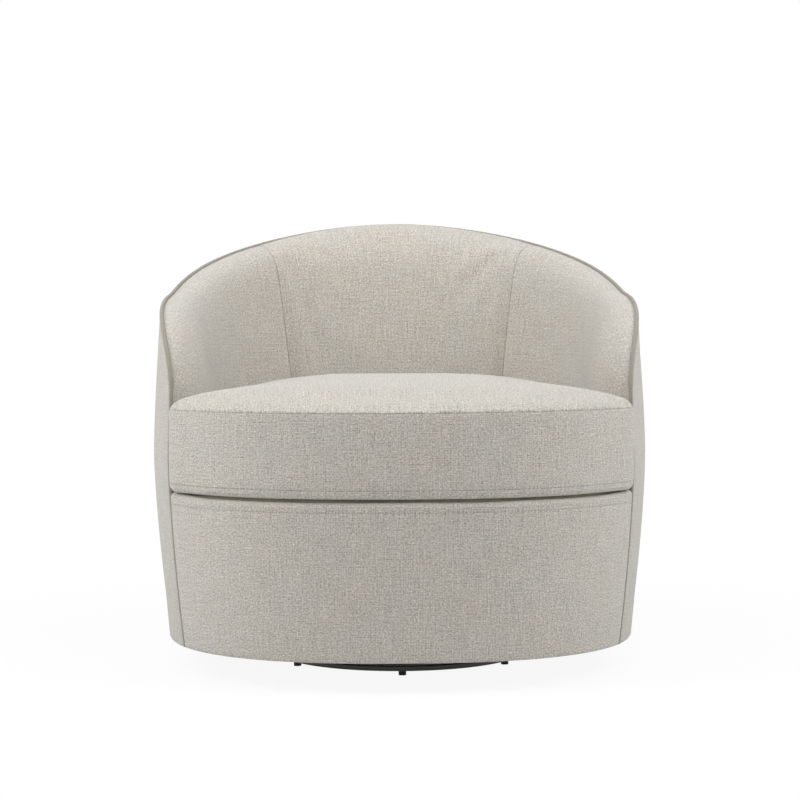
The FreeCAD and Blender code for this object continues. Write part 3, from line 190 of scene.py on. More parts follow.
def grid_object(name, points, weave, seam, flip=False):
    """A quad grid from points[column][row] in millimetres, with weave coordinates and distance to a seam."""
    columns, rows = len(points), len(points[0])
    faces = grid_faces(columns, rows)
    if flip:
        faces = [tuple(reversed(face)) for face in faces]
    mesh = bpy.data.meshes.new(name)
    mesh.from_pydata([tuple(p * MM) for column in points for p in column], [], faces)
    mesh.shade_smooth()
    add_vectors(mesh, "weave", [value for column in weave for value in column])
    add_floats(mesh, "seam", [value for column in seam for value in column])
    return linked(name, mesh)


def grid_normals(points, flip=False):
    """Normals of a quad grid held as an array of columns by rows by 3."""
    across = np.gradient(points, axis=0)
    along = np.gradient(points, axis=1)
    normals = np.cross(across, along)
    normals /= np.maximum(np.linalg.norm(normals, axis=2, keepdims=True), 1e-9)
    return -normals if flip else normals


def metric(points):
    """Weave coordinates of a grid: length across the columns and along the rows."""
    array = np.array([[tuple(p) for p in column] for column in points])
    across = np.zeros(array.shape[:2])
    along = np.zeros(array.shape[:2])
    steps = np.linalg.norm(np.diff(array, axis=0), axis=2)
    across[1:, :] = np.cumsum(np.mean(steps, axis=1))[:, None]
    along[:, 1:] = np.cumsum(np.linalg.norm(np.diff(array, axis=1), axis=2), axis=1)
    return np.stack([across - across[-1:, :] / 2, along, np.zeros_like(across)], axis=2)


def ripple(point, scale, seed):
    """Smooth noise between about -1 and 1 at a wavelength in millimetres."""
    return noise.noise(Vector(point) / scale + Vector((seed * 7.1, seed * 3.3, seed * 5.7))) * 1.6


def displaced(points, amount_at, flip=False):
    """Moves each grid point along its normal by amount_at(column, row, point) millimetres."""
    array = np.array([[tuple(p) for p in column] for column in points])
    normals = grid_normals(array, flip)
    moved = []
    for i, column in enumerate(points):
        moved.append([Vector(array[i, j] + normals[i, j] * amount_at(i, j, column[j]))
                      for j in range(len(column))])
    return moved


def cloth_puff(obj, pinned, pressure, cap, frames=16, stiffness=12.0):
    """Blows the mesh up as cloth held at its pinned points, and keeps the move under a cap in millimetres."""
    rest = np.array([v.co for v in obj.data.vertices])
    group = obj.vertex_groups.new(name="held")
    for index, weight in enumerate(pinned):
        if weight > 0.001:
            group.add([index], min(weight, 1.0), "REPLACE")
    cloth = obj.modifiers.new("puff", "CLOTH")
    settings = cloth.settings
    settings.quality = 6
    settings.mass = 0.25
    settings.tension_stiffness = stiffness
    settings.compression_stiffness = stiffness
    settings.shear_stiffness = stiffness / 2
    settings.bending_stiffness = 0.4
    settings.use_pressure = True
    settings.uniform_pressure_force = pressure
    settings.vertex_group_mass = "held"
    settings.effector_weights.gravity = 0.0
    cloth.collision_settings.use_collision = False
    cloth.collision_settings.use_self_collision = False
    cloth.point_cache.frame_start = 1
    cloth.point_cache.frame_end = frames
    scene = bpy.context.scene
    for step in range(1, frames + 1):
        scene.frame_set(step)
    evaluated = obj.evaluated_get(bpy.context.evaluated_depsgraph_get())
    moved = np.zeros(len(rest) * 3)
    evaluated.data.vertices.foreach_get("co", moved)
    move = moved.reshape(-1, 3) - rest
    length = np.linalg.norm(move, axis=1, keepdims=True)
    limit = cap * MM
    move *= limit * np.tanh(length / limit) / np.maximum(length, 1e-9)
    obj.modifiers.remove(cloth)
    obj.vertex_groups.remove(group)
    scene.frame_set(1)
    obj.data.vertices.foreach_set("co", (rest + move).ravel())
    obj.data.update()


# Angles round the chair, closer together where an arm's front end draws in

def arm_columns(first, last, count, end_count):
    columns = [first + (ARM_TAPER_ANGLE - first) * i / count for i in range(count)]
    for i in range(end_count + 1):
        share = math.sin(math.radians(90.0 * i / end_count))
        columns.append(ARM_TAPER_ANGLE + (last - ARM_TAPER_ANGLE) * share)
    return columns


def pad_profile(angle):
    """Points of the inside upholstery from under the cushion, over the roll and out to the cord."""
    end_depth = CORD_RADIUS * 2 + 0.5
    line = top_line(angle)
    outer = shell_radius(angle, line)
    roll_height = mixed(angle, BACK_ROLL_DROP, ARM_ROLL_DROP, END_ROLL_DROP)
    roll_depth = mixed(angle, BACK_ROLL_DEPTH, ARM_ROLL_DEPTH, end_depth + 1.0)
    crest_depth = mixed(angle, BACK_CREST_DEPTH, ARM_CREST_DEPTH, end_depth)
    foot = (pad_inner_radius(angle, end_depth), PAD_FOOT)
    roll = (outer - roll_depth, line - roll_height)
    crest = (outer - crest_depth, line)
    end_height = cord_height(angle)
    end = (cord_centre_radius(angle, end_height) - CORD_RADIUS + 0.6, end_height - 1.0)
    middle = ((foot[0] + roll[0]) / 2 - 5.0 * taper(angle), (foot[1] + roll[1]) / 2)
    quarter = math.sqrt(0.5)
    over_roll = (roll[0] + (crest[0] - roll[0]) * (1 - quarter), roll[1] + (crest[1] - roll[1]) * quarter)
    over_crest = (crest[0] + (end[0] - crest[0]) * quarter, crest[1] - (crest[1] - end[1]) * (1 - quarter))
    points = arc_through(foot, middle, roll, 46) + arc_through(roll, over_roll, crest, 16)
    points += arc_through(crest, over_crest, end, 10) + [end]
    line_points = np.array(points)
    for k in range(60):
        line_points[1:-1] += 0.25 * (line_points[:-2] + line_points[2:] - 2 * line_points[1:-1])
    return [at(angle, radius, height) for radius, height in line_points]


side_columns = arm_columns(0.0, PAD_END_ANGLE, 74, 26)
pad_angles = [-a for a in reversed(side_columns[1:])] + side_columns
pad_points = [pad_profile(angle) for angle in pad_angles]
pad_rows = len(pad_points[0])


def pad_amount(i, j, point):
    angle = abs(pad_angles[i])
    near_seam = abs(angle - PANEL_SEAM_ANGLE) * math.radians(1) * SEAM_RADIUS
    edge = min(j, pad_rows - 1 - j) / 10.0
    held = min(edge, 1.0)
    sink = -1.5 * math.exp(-(near_seam / 6.0) ** 2) - 0.9 * math.exp(-(near_seam / 26.0) ** 2)
    wave = 1.3 * ripple(point, 150.0, 1) + 0.6 * ripple(point, 60.0, 2)
    pucker = 0.35 * ripple((point[0], point[1], point[2] * 2.2), 14.0, 3) * math.exp(-(near_seam / 14.0) ** 2)
    return (sink + wave + pucker) * held


pad_points = displaced(pad_points, pad_amount)


def tucked(column, turn, depth):
    """A last column that runs behind the cord's upright part, at the same heights."""
    top = cord_height(CORNER_ANGLE)
    heights = [min(point.z, top) for point in column]
    return [at(turn, cord_centre_radius(CORNER_ANGLE, height) - depth, height) for height in heights]


pad_points = ([tucked(pad_points[0], -CORNER_ANGLE, 1.5)] + pad_points
              + [tucked(pad_points[-1], CORNER_ANGLE, 1.5)])
pad_angles = [-CORNER_ANGLE] + pad_angles + [CORNER_ANGLE]
pad_weave = metric(pad_points)


def pad_seam_distance(i):
    angle = abs(pad_angles[i])
    return (angle - PANEL_SEAM_ANGLE) * math.radians(1) * SEAM_RADIUS


def pad_panel(name, first, last):
    columns = [i for i, angle in enumerate(pad_angles) if first - 0.01 <= angle <= last + 0.01]
    points = [pad_points[i] for i in columns]
    weave = [pad_weave[i] for i in columns]
    seam = [[pad_seam_distance(i)] * pad_rows for i in columns]
    return grid_object(name, points, weave, seam), columns


nearest = min(side_columns, key=lambda angle: abs(angle - PANEL_SEAM_ANGLE))
back_panel, back_columns = pad_panel("inside_back_panel", -nearest, nearest)
left_panel, left_columns = pad_panel("left_arm_panel", nearest, CORNER_ANGLE)
right_panel, right_columns = pad_panel("right_arm_panel", -CORNER_ANGLE, -nearest)


def puff_panel(obj, columns, pressure, cap):
    count = len(columns)
    held = []
    for i in range(count):
        for j in range(pad_rows):
            edge = min(i, count - 1 - i, j, pad_rows - 1 - j)
            held.append(1.0 if edge <= 1 else 0.0)
    cloth_puff(obj, held, pressure, cap, frames=10)


puff_panel(back_panel, back_columns, 1.6, 5.0)
puff_panel(left_panel, left_columns, 1.6, 4.0)
puff_panel(right_panel, right_columns, 1.6, 4.0)


# Outer wrap, turned under at the floor edge and tucked behind the cord

wrap_angles = pad_angles[1:-1]


def hem_points(angle):
    """The cloth turned under at the floor edge, as depth behind the outside and height above the hem."""
    turned = ((34.0, 0.2), (12.0, 0.0), (3.0, 0.1), (0.8, 1.0))
    return [at(angle, shell_radius(angle, SKIRT_HEIGHT, depth), SKIRT_HEIGHT + lift)
            for depth, lift in turned]


def wrap_profile(angle):
    radius = cord_centre_radius(angle, cord_height(angle))
    reach = CORD_RADIUS - 0.2
    tops = []
    for k in range(-6, 7):
        along = reach * k / 6
        height = cord_height(abs(angle) + math.degrees(along / radius))
        tops.append(height - math.sqrt(reach ** 2 - along ** 2))
    top = min(tops)
    points = hem_points(angle)
    count = 64
    for k in range(count + 1):
        height = SKIRT_HEIGHT + 3.5 + (top - SKIRT_HEIGHT - 3.5) * k / count
        near_top = math.exp(-((top - height) / 4.0) ** 2)
        points.append(at(angle, shell_radius(angle, height, 2.6 * near_top), height))
    return points


wrap_points = [wrap_profile(angle) for angle in wrap_angles]


def wrap_amount(i, j, point):
    if j < HEM_ROWS:
        return 0.0
    rise = min((j - HEM_ROWS) / 8.0, 1.0) * min((len(wrap_points[0]) - 1 - j) / 8.0, 1.0)
    side = min(i, len(wrap_angles) - 1 - i)
    return (-1.6 + 0.9 * ripple(point, 210.0, 4)) * rise * min(side / 6.0, 1.0)


wrap_points = displaced(wrap_points, wrap_amount, flip=True)
wrap_points = ([tucked(wrap_points[0], -CORNER_ANGLE, 0.0)] + wrap_points
               + [tucked(wrap_points[-1], CORNER_ANGLE, 0.0)])
wrap_seam = [[FAR_FROM_SEAM] * len(column) for column in wrap_points]
wrap_panel = grid_object("outer_wrap_panel", wrap_points, metric(wrap_points), wrap_seam, flip=True)

# Front apron with a rolled top edge and a row of topstitching

APRON_COLUMNS = 200
apron_angles = [APRON_ANGLE + (360.0 - 2 * APRON_ANGLE) * i / APRON_COLUMNS for i in range(APRON_COLUMNS + 1)]
TOPSTITCH_HEIGHT = 271.5


def apron_profile(angle):
    points = hem_points(angle)
    inward = min(min(angle - APRON_ANGLE, 360.0 - APRON_ANGLE - angle) / 14.0, 1.0)
    top = DECK_HEIGHT - 0.5 - APRON_DIP * inward * inward * (3 - 2 * inward)
    count = 74
    for k in range(count + 1):
        height = SKIRT_HEIGHT + 3.5 + (top - APRON_ROLL - SKIRT_HEIGHT - 3.5) * k / count
        points.append(at(angle, shell_radius(angle, height), height))
    for k in range(1, 9):
        turn = math.radians(90.0 * k / 8)
        radius = shell_radius(angle, top, APRON_ROLL * (1 - math.cos(turn)))
        points.append(at(angle, radius, top - APRON_ROLL + APRON_ROLL * math.sin(turn)))
    points.append(at(angle, shell_radius(angle, top, 16.0), top - 0.6))
    points.append(at(angle, shell_radius(angle, top, 26.0), top - 1.8))
    return points


apron_points = [apron_profile(angle) for angle in apron_angles]
apron_rows = len(apron_points[0])


def apron_amount(i, j, point):
    if j < HEM_ROWS:
        return 0.0
    side = min(i, APRON_COLUMNS - i)
    ends = min(side / 3.0, 1.0)
    rise = min((j - HEM_ROWS) / 6.0, 1.0)
    above = point[2] - TOPSTITCH_HEIGHT
    pull = -0.5 * math.exp(-(above / 2.6) ** 2)
    pucker = 0.28 * ripple((point[0], point[1], 0.0), 9.0, 6) * math.exp(-(above / 8.0) ** 2)
    wave = 0.8 * ripple(point, 170.0, 5) + 0.35 * ripple((point[0], point[1], point[2] * 0.3), 42.0, 7)
    corner = math.exp(-side * 4.2 / 16.0) * math.exp(-((point[2] - 284.0) / 10.0) ** 2)
    gather = 1.5 * corner * ripple((point[0] * 1.2, point[1] * 1.2, point[2] * 0.4), 9.0, 8)
    return (wave * rise + pull + pucker + gather) * ends


apron_points = displaced(apron_points, apron_amount, flip=True)
apron_points = ([tucked(apron_points[0], CORNER_ANGLE, 0.0)] + apron_points
                + [tucked(apron_points[-1], -CORNER_ANGLE, 0.0)])
apron_weave = metric(apron_points)
apron_stitch = [[p[2] - TOPSTITCH_HEIGHT for p in column] for column in apron_points]
apron_panel = grid_object("apron_panel", apron_points, apron_weave,
                          [[FAR_FROM_SEAM] * apron_rows for column in apron_points], flip=True)
add_floats(apron_panel.data, "stitch", [value for column in apron_stitch for value in column])

# Welt cord up one front corner, along the top line and down the other


def cord_route():
    bottom = SKIRT_HEIGHT + 1.5
    turn_height = cord_height(CORNER_ANGLE)
    points = []
    for k in range(120):
        height = bottom + (turn_height - bottom) * k / 120
        points.append(at(CORNER_ANGLE, cord_centre_radius(CORNER_ANGLE, height), height))
    for k in range(160):
        share = math.cos(math.radians(90.0 * k / 160)) ** 0.8
        angle = ARM_CURVE_ANGLE + (CORNER_ANGLE - ARM_CURVE_ANGLE) * share
        points.append(at(angle, cord_centre_radius(angle, cord_height(angle)), cord_height(angle)))
    for k in range(140):
        angle = ARM_CURVE_ANGLE * (1 - k / 140)
        points.append(at(angle, cord_centre_radius(angle, cord_height(angle)), cord_height(angle)))
    middle = [at(0.0, cord_centre_radius(0.0, cord_height(0.0)), cord_height(0.0))]
    return points + middle + [Vector((-p.x, p.y, p.z)) for p in reversed(points)]


def resampled(points, step):
    """The same line with its points an even step apart."""
    lengths = [0.0]
    for a, b in zip(points, points[1:]):
        lengths.append(lengths[-1] + (b - a).length)
    count = int(lengths[-1] / step)
    result = []
    index = 0
    for k in range(count + 1):
        target = lengths[-1] * k / count
        while index < len(points) - 2 and lengths[index + 1] < target:
            index += 1
        share = (target - lengths[index]) / max(lengths[index + 1] - lengths[index], 1e-9)
        result.append(points[index].lerp(points[index + 1], share))
    return result


def tube_object(name, route, radius, sides=14):
    points = []
    weave = []
    count = len(route)
    length = 0.0
    side = None
    for k, centre in enumerate(route):
        tangent = (route[min(k + 1, count - 1)] - route[max(k - 1, 0)]).normalized()
        if side is None:
            side = tangent.cross(Vector((centre.x, centre.y, 0)).normalized())
        side = (side - tangent * side.dot(tangent)).normalized()
        other = tangent.cross(side)
        if k:
            length += (centre - route[k - 1]).length
        column = []
        coordinates = []
        for s in range(sides + 1):
            turn = 2 * math.pi * s / sides
            direction = side * math.cos(turn) + other * math.sin(turn)
            wobble = 0.12 * ripple(centre + direction * radius, 9.0, 9) + 0.1 * ripple(centre, 34.0, 10)
            column.append(centre + direction * (radius + wobble))
            coordinates.append((length + turn * radius, length - turn * radius, 0.0))
        points.append(column)
        weave.append(coordinates)
    return grid_object(name, points, weave, [[FAR_FROM_SEAM] * (sides + 1) for point in route])


cord_line = resampled(cord_route(), 3.0)
cord_tube = tube_object("welt_cord_cover", cord_line, CORD_RADIUS)

# Loose seat cushion: outline from the space between the arms, T-ends in front of them


def pad_clear_radius(angle):
    line = top_line(angle)
    end_depth = 22.0
    roll = shell_radius(angle, line) - mixed(angle, BACK_ROLL_DEPTH, ARM_ROLL_DEPTH, end_depth)
    foot = pad_inner_radius(angle, end_depth)
    return min(foot, roll, (foot + roll) / 2 - 6.0)


def cushion_radius(angle):
    turn = abs(angle)
    end = APRON_ANGLE + 1.0
    front = shell_radius(max(turn, end), BELLY_HEIGHT) + 1.0
    front += 6.0 * math.exp(-((max(turn, end) - end - 1.5) / 5.0) ** 2)
    if turn >= end:
        return front
    side = math.sin(math.radians(min(turn, 90))) ** 2
    room = 8.0 + (4.5 - 8.0) * side
    shift = 1.2 * min(max((turn - ARM_TAPER_ANGLE) / 8.0, 0.0), 1.0)
    rear = pad_clear_radius(min(turn, PAD_END_ANGLE) - shift) - room
    share = max((turn - PAD_END_ANGLE) / (end - PAD_END_ANGLE), 0.0)
    return rear + (front - rear) * share


def rounded(line, reach):
    """A closed line whose corners are softened over a reach, in points."""
    array = np.array([tuple(p) for p in line])
    kernel = np.exp(-(np.arange(-3 * reach, 3 * reach + 1) / reach) ** 2)
    kernel /= kernel.sum()
    result = np.zeros_like(array)
    for weight, shift in zip(kernel, range(-3 * reach, 3 * reach + 1)):
        result += weight * np.roll(array, shift, axis=0)
    return result


dense = [at(k * 0.1, cushion_radius(min(k * 0.1, 360.0 - k * 0.1)), 0.0) for k in range(3600)]
outline = rounded(resampled(dense + dense[:1], 2.0)[:-1], 4)
outline_lengths = np.concatenate([[0.0], np.cumsum(np.linalg.norm(np.diff(outline, axis=0), axis=1))])
outline_xy = outline[:, :2]


def edge_distance(x, y):
    return float(np.sqrt(((outline_xy - (x, y)) ** 2).sum(axis=1).min()))


def crown_height(distance):
    return 13.0 * (1 - math.exp(-distance / 6.0)) + 32.0 * (1 - math.exp(-distance / 95.0))


def cushion_levels():
    """Rings of points from the middle of the bottom to the middle of the top."""
    columns = outline[::2]
    lengths = np.linalg.norm(columns[:, :2], axis=1)
    levels = []

    def ring(inset, height):
        scale = 1 - inset / lengths
        levels.append([Vector((p[0] * s, p[1] * s, height)) for p, s in zip(columns, scale)])

    for share in (0.1, 0.3, 0.5, 0.7, 0.85, 0.94):
        levels.append([Vector((p[0] * share, p[1] * share, CUSHION_BOTTOM)) for p in columns])
    for inset, height in ((11.0, CUSHION_BOTTOM), (5.5, CUSHION_BOTTOM + 1.6), (2.0, CUSHION_BOTTOM + 5.0),
                          (0.4, CUSHION_BOTTOM + 9.5)):
        ring(inset, height)
    for k in range(20):
        share = k / 19
        inset = 0.6 - 3.2 * 4 * share * (1 - share) * 0.5
        ring(inset, CUSHION_LOW_SEAM + (CUSHION_TOP_SEAM - CUSHION_LOW_SEAM) * share)
    scales = [1 - 0.012 * k for k in range(1, 10)] + [0.88 - 0.04 * k for k in range(22)]
    for scale in scales:
        ring_points = []
        for p in columns:
            x, y = p[0] * scale, p[1] * scale
            ring_points.append(Vector((x, y, CUSHION_TOP_SEAM + crown_height(edge_distance(x, y)))))
        levels.append(ring_points)
    return levels


def closed_stack(name, levels):
    """A closed mesh from rings, with a point at each end."""
    count = len(levels[0])
    vertices = [tuple(p * MM) for ring in levels for p in ring]
    faces = []
    for i in range(len(levels) - 1):
        for j in range(count):
            a, b = i * count + j, i * count + (j + 1) % count
            faces.append((a, a + count, b + count, b))
    for ring, turned in ((0, False), (len(levels) - 1, True)):
        centre = sum(levels[ring], Vector()) / count
        vertices.append(tuple(centre * MM))
        for j in range(count):
            face = (ring * count + j, ring * count + (j + 1) % count, len(vertices) - 1)
            faces.append(tuple(reversed(face)) if turned else face)
    mesh = bpy.data.meshes.new(name)
    mesh.from_pydata(vertices, [], faces)
    shape = bmesh.new()
    shape.from_mesh(mesh)
    bmesh.ops.recalc_face_normals(shape, faces=shape.faces)
    shape.to_mesh(mesh)
    shape.free()
    return linked(name, mesh)


def applied(obj, kind, **settings):
    modifier = obj.modifiers.new(kind.lower(), kind)
    for key, value in settings.items():
        setattr(modifier, key, value)
    mesh = bpy.data.meshes.new_from_object(obj.evaluated_get(bpy.context.evaluated_depsgraph_get()))
    obj.modifiers.remove(modifier)
    obj.data = mesh


cushion = closed_stack("seat_cushion_cover", cushion_levels())
applied(cushion, "REMESH", mode="VOXEL", use_smooth_shade=True,
        voxel_size=VOXEL)
applied(cushion, "SMOOTH", factor=0.5, iterations=2)


def seam_facts(points):
    """Distance in plan from each point to the cushion's outline, and the place along it, in millimetres."""
    plan = np.zeros(len(points))
    along = np.zeros(len(points))
    for start in range(0, len(points), 4000):
        block = points[start:start + 4000, :2]
        squares = ((block[:, None, :] - outline_xy[None, :, :]) ** 2).sum(axis=2)
        nearest_point = squares.argmin(axis=1)
        plan[start:start + 4000] = np.sqrt(squares[np.arange(len(block)), nearest_point])
        along[start:start + 4000] = outline_lengths[nearest_point]
    return plan, along


def cushion_coordinates(obj):
    count = len(obj.data.vertices)
    points = np.zeros(count * 3)
    obj.data.vertices.foreach_get("co", points)
    points = points.reshape(-1, 3) / MM
    plan, along = seam_facts(points)
    return points, plan, along


points, plan, along = cushion_coordinates(cushion)
height = points[:, 2]
top_gap = np.hypot(np.minimum(plan, PLAN_REACH) * (height > CUSHION_TOP_SEAM), height - CUSHION_TOP_SEAM)
low_gap = np.hypot(np.minimum(plan, PLAN_REACH) * (height < CUSHION_LOW_SEAM), height - CUSHION_LOW_SEAM)
at_seams = np.exp(-(top_gap / 5.0) ** 2) + np.exp(-(low_gap / 5.0) ** 2)
held = np.clip(at_seams + (height < CUSHION_BOTTOM + 1.5), 0, 1)
cloth_puff(cushion, held, 2.2, 6.0, frames=16)
points, plan, along = cushion_coordinates(cushion)
height = points[:, 2]
top_gap = np.hypot(plan * (height > CUSHION_TOP_SEAM), height - CUSHION_TOP_SEAM)
low_gap = np.hypot(plan * (height < CUSHION_LOW_SEAM), height - CUSHION_LOW_SEAM)
side_signs = np.where(height > CUSHION_TOP_SEAM, 1.0, -1.0)
low_signs = np.where(height > CUSHION_LOW_SEAM, 1.0, -1.0)
normals = np.zeros(len(points) * 3)
cushion.data.vertices.foreach_get("normal", normals)
normals = normals.reshape(-1, 3)
for k in range(len(points)):
    place = points[k]
    near = math.exp(-(top_gap[k] / 3.2) ** 2) + 0.5 * math.exp(-(low_gap[k] / 3.2) ** 2)
    wide = math.exp(-(top_gap[k] / 12.0) ** 2) + 0.2 * math.exp(-(low_gap[k] / 12.0) ** 2)
    amount = -0.9 * near + 0.45 * wide * ripple((along[k], 0.0, place[2] * 0.25), 13.0, 11)
    if place[2] > CUSHION_BOTTOM + 4:
        amount += 0.9 * ripple(place, 120.0, 12) + 0.3 * ripple(place, 45.0, 13)
    points[k] = place + normals[k] * amount
points[:, 2] = np.maximum(points[:, 2], CUSHION_BOTTOM)
cushion.data.vertices.foreach_set("co", (points * MM).ravel())
cushion.data.update()
cushion.data.shade_smooth()
add_vectors(cushion.data, "weave", np.stack([points[:, 0], points[:, 1], np.zeros(len(points))], axis=1))
add_vectors(cushion.data, "weave_side", np.stack([along, points[:, 2], np.zeros(len(points))], axis=1))
add_floats(cushion.data, "seam", top_gap * side_signs)
add_floats(cushion.data, "low_seam", low_gap * low_signs)

applied(cushion, "SUBSURF", levels=1, render_levels=1, subdivision_type="SIMPLE")

# Thin pieces that follow their solid: the same outline, divided finely and given small waves


def cloth_copy(node, name, cuts, sag, grain):
    """A new piece on the outline of a thin solid, with fine faces and small waves."""
    source = frame["nodes"][node]
    obj = linked(name, source.data.copy())
    obj.data.materials.clear()
    shape = bmesh.new()
    shape.from_mesh(obj.data)
    bmesh.ops.remove_doubles(shape, verts=shape.verts, dist=1e-6)
    for k in range(cuts):
        long_edges = [edge for edge in shape.edges if edge.calc_length() > grain * MM]
        if long_edges:
            bmesh.ops.subdivide_edges(shape, edges=long_edges, cuts=1, use_grid_fill=True)
            bmesh.ops.triangulate(shape, faces=[face for face in shape.faces if len(face.verts) > 4])
    for vertex in shape.verts:
        place = vertex.co / MM
        vertex.co.z += sag * (0.6 + 0.4 * ripple((place.x, place.y, 0.0), 70.0, 21)) * MM
    shape.to_mesh(obj.data)
    shape.free()
    obj.data.shade_smooth()
    add_vectors(obj.data, "weave", [tuple(v.co / MM) for v in obj.data.vertices])
    add_floats(obj.data, "seam", [FAR_FROM_SEAM] * len(obj.data.vertices))
    return obj


deck_panel = cloth_copy("deck_cloth", "deck_cloth_panel", 4, -0.15, 14.0)
dust_panel = cloth_copy("dust_cover", "dust_cover_panel", 4, 0.15, 14.0)
tape_panel = cloth_copy("zipper_tape", "zipper_tape_panel", 2, 0.0, 6.0)

# Materials


class Shader:
    """Builds a node material step by step."""

    def __init__(self, name, color, roughness, metallic=0.0):
        self.material = bpy.data.materials.new(name)
        self.material.use_nodes = True
        self.tree = self.material.node_tree
        self.surface = next(node for node in self.tree.nodes if node.type == "BSDF_PRINCIPLED")
        self.surface.inputs["Base Color"].default_value = (*color, 1)
        self.surface.inputs["Roughness"].default_value = roughness
        self.surface.inputs["Metallic"].default_value = metallic

    def add(self, kind, **settings):
        node = self.tree.nodes.new(kind)
        for key, value in settings.items():
            setattr(node, key, value)
        return node

    def put(self, value, socket):
        if isinstance(value, bpy.types.NodeSocket):
            self.tree.links.new(value, socket)
        else:
            socket.default_value = value

    def math(self, operation, a, b=0.0):
        node = self.add("ShaderNodeMath", operation=operation)
        self.put(a, node.inputs[0])
        self.put(b, node.inputs[1])
        return node.outputs[0]

    def attribute(self, name, vector=False):
        node = self.add("ShaderNodeAttribute", attribute_name=name)
        return node.outputs["Vector"] if vector else node.outputs["Fac"]

    def place(self):
        return self.add("ShaderNodeTexCoord").outputs["Object"]

    def stretched(self, vector, scale, turn=0.0):
        node = self.add("ShaderNodeMapping")
        self.put(vector, node.inputs["Vector"])
        node.inputs["Scale"].default_value = scale
        node.inputs["Rotation"].default_value = (0.0, 0.0, math.radians(turn))
        return node.outputs[0]

    def noise(self, vector, scale=1.0, detail=2.0, roughness=0.5):
        node = self.add("ShaderNodeTexNoise")
        self.put(vector, node.inputs["Vector"])
        node.inputs["Scale"].default_value = scale
        node.inputs["Detail"].default_value = detail
        node.inputs["Roughness"].default_value = roughness
        return node.outputs["Fac"]

    def cells(self, vector, scale):
        node = self.add("ShaderNodeTexVoronoi")
        self.put(vector, node.inputs["Vector"])
        node.inputs["Scale"].default_value = scale
        return node.outputs["Distance"]

    def spread(self, value, low, high, new_low, new_high):
        node = self.add("ShaderNodeMapRange")
        self.put(value, node.inputs["Value"])
        for key, number in (("From Min", low), ("From Max", high), ("To Min", new_low), ("To Max", new_high)):
            node.inputs[key].default_value = number
        return node.outputs[0]

    def mix(self, factor, a, b, blend="MIX"):
        node = self.add("ShaderNodeMix", data_type="RGBA", blend_type=blend)
        self.put(factor, node.inputs[0])
        for value, socket in ((a, node.inputs[6]), (b, node.inputs[7])):
            self.put(value if isinstance(value, bpy.types.NodeSocket) else (*value, 1), socket)
        return node.outputs[2]

    def scaled(self, color, value):
        node = self.add("ShaderNodeVectorMath", operation="SCALE")
        self.put(color, node.inputs[0])
        self.put(value, node.inputs["Scale"])
        return node.outputs[0]

    def bump(self, height, distance, strength=1.0):
        node = self.add("ShaderNodeBump")
        self.put(height, node.inputs["Height"])
        node.inputs["Distance"].default_value = distance
        node.inputs["Strength"].default_value = strength
        self.put(node.outputs[0], self.surface.inputs["Normal"])

    def bell(self, distance, width):
        """1 on a line and 0 away from it."""
        share = self.math("DIVIDE", distance, width)
        return self.math("EXPONENT", self.math("MULTIPLY", self.math("MULTIPLY", share, share), -1.0))

    def finish(self, color=None, roughness=None):
        if color is not None:
            self.put(color, self.surface.inputs["Base Color"])
        if roughness is not None:
            self.put(roughness, self.surface.inputs["Roughness"])
        return self.material


FABRIC = (0.472, 0.438, 0.388)
FABRIC_COOL = (0.464, 0.440, 0.398)
# The welt cord is cut from the same cloth as the panels; its darker colour is painted shade, standing in for
# the shade the cord sits in along the seam.
WELT_PAINTED_SHADE = (0.335, 0.295, 0.240)
WEAVE_PITCH = 2.5


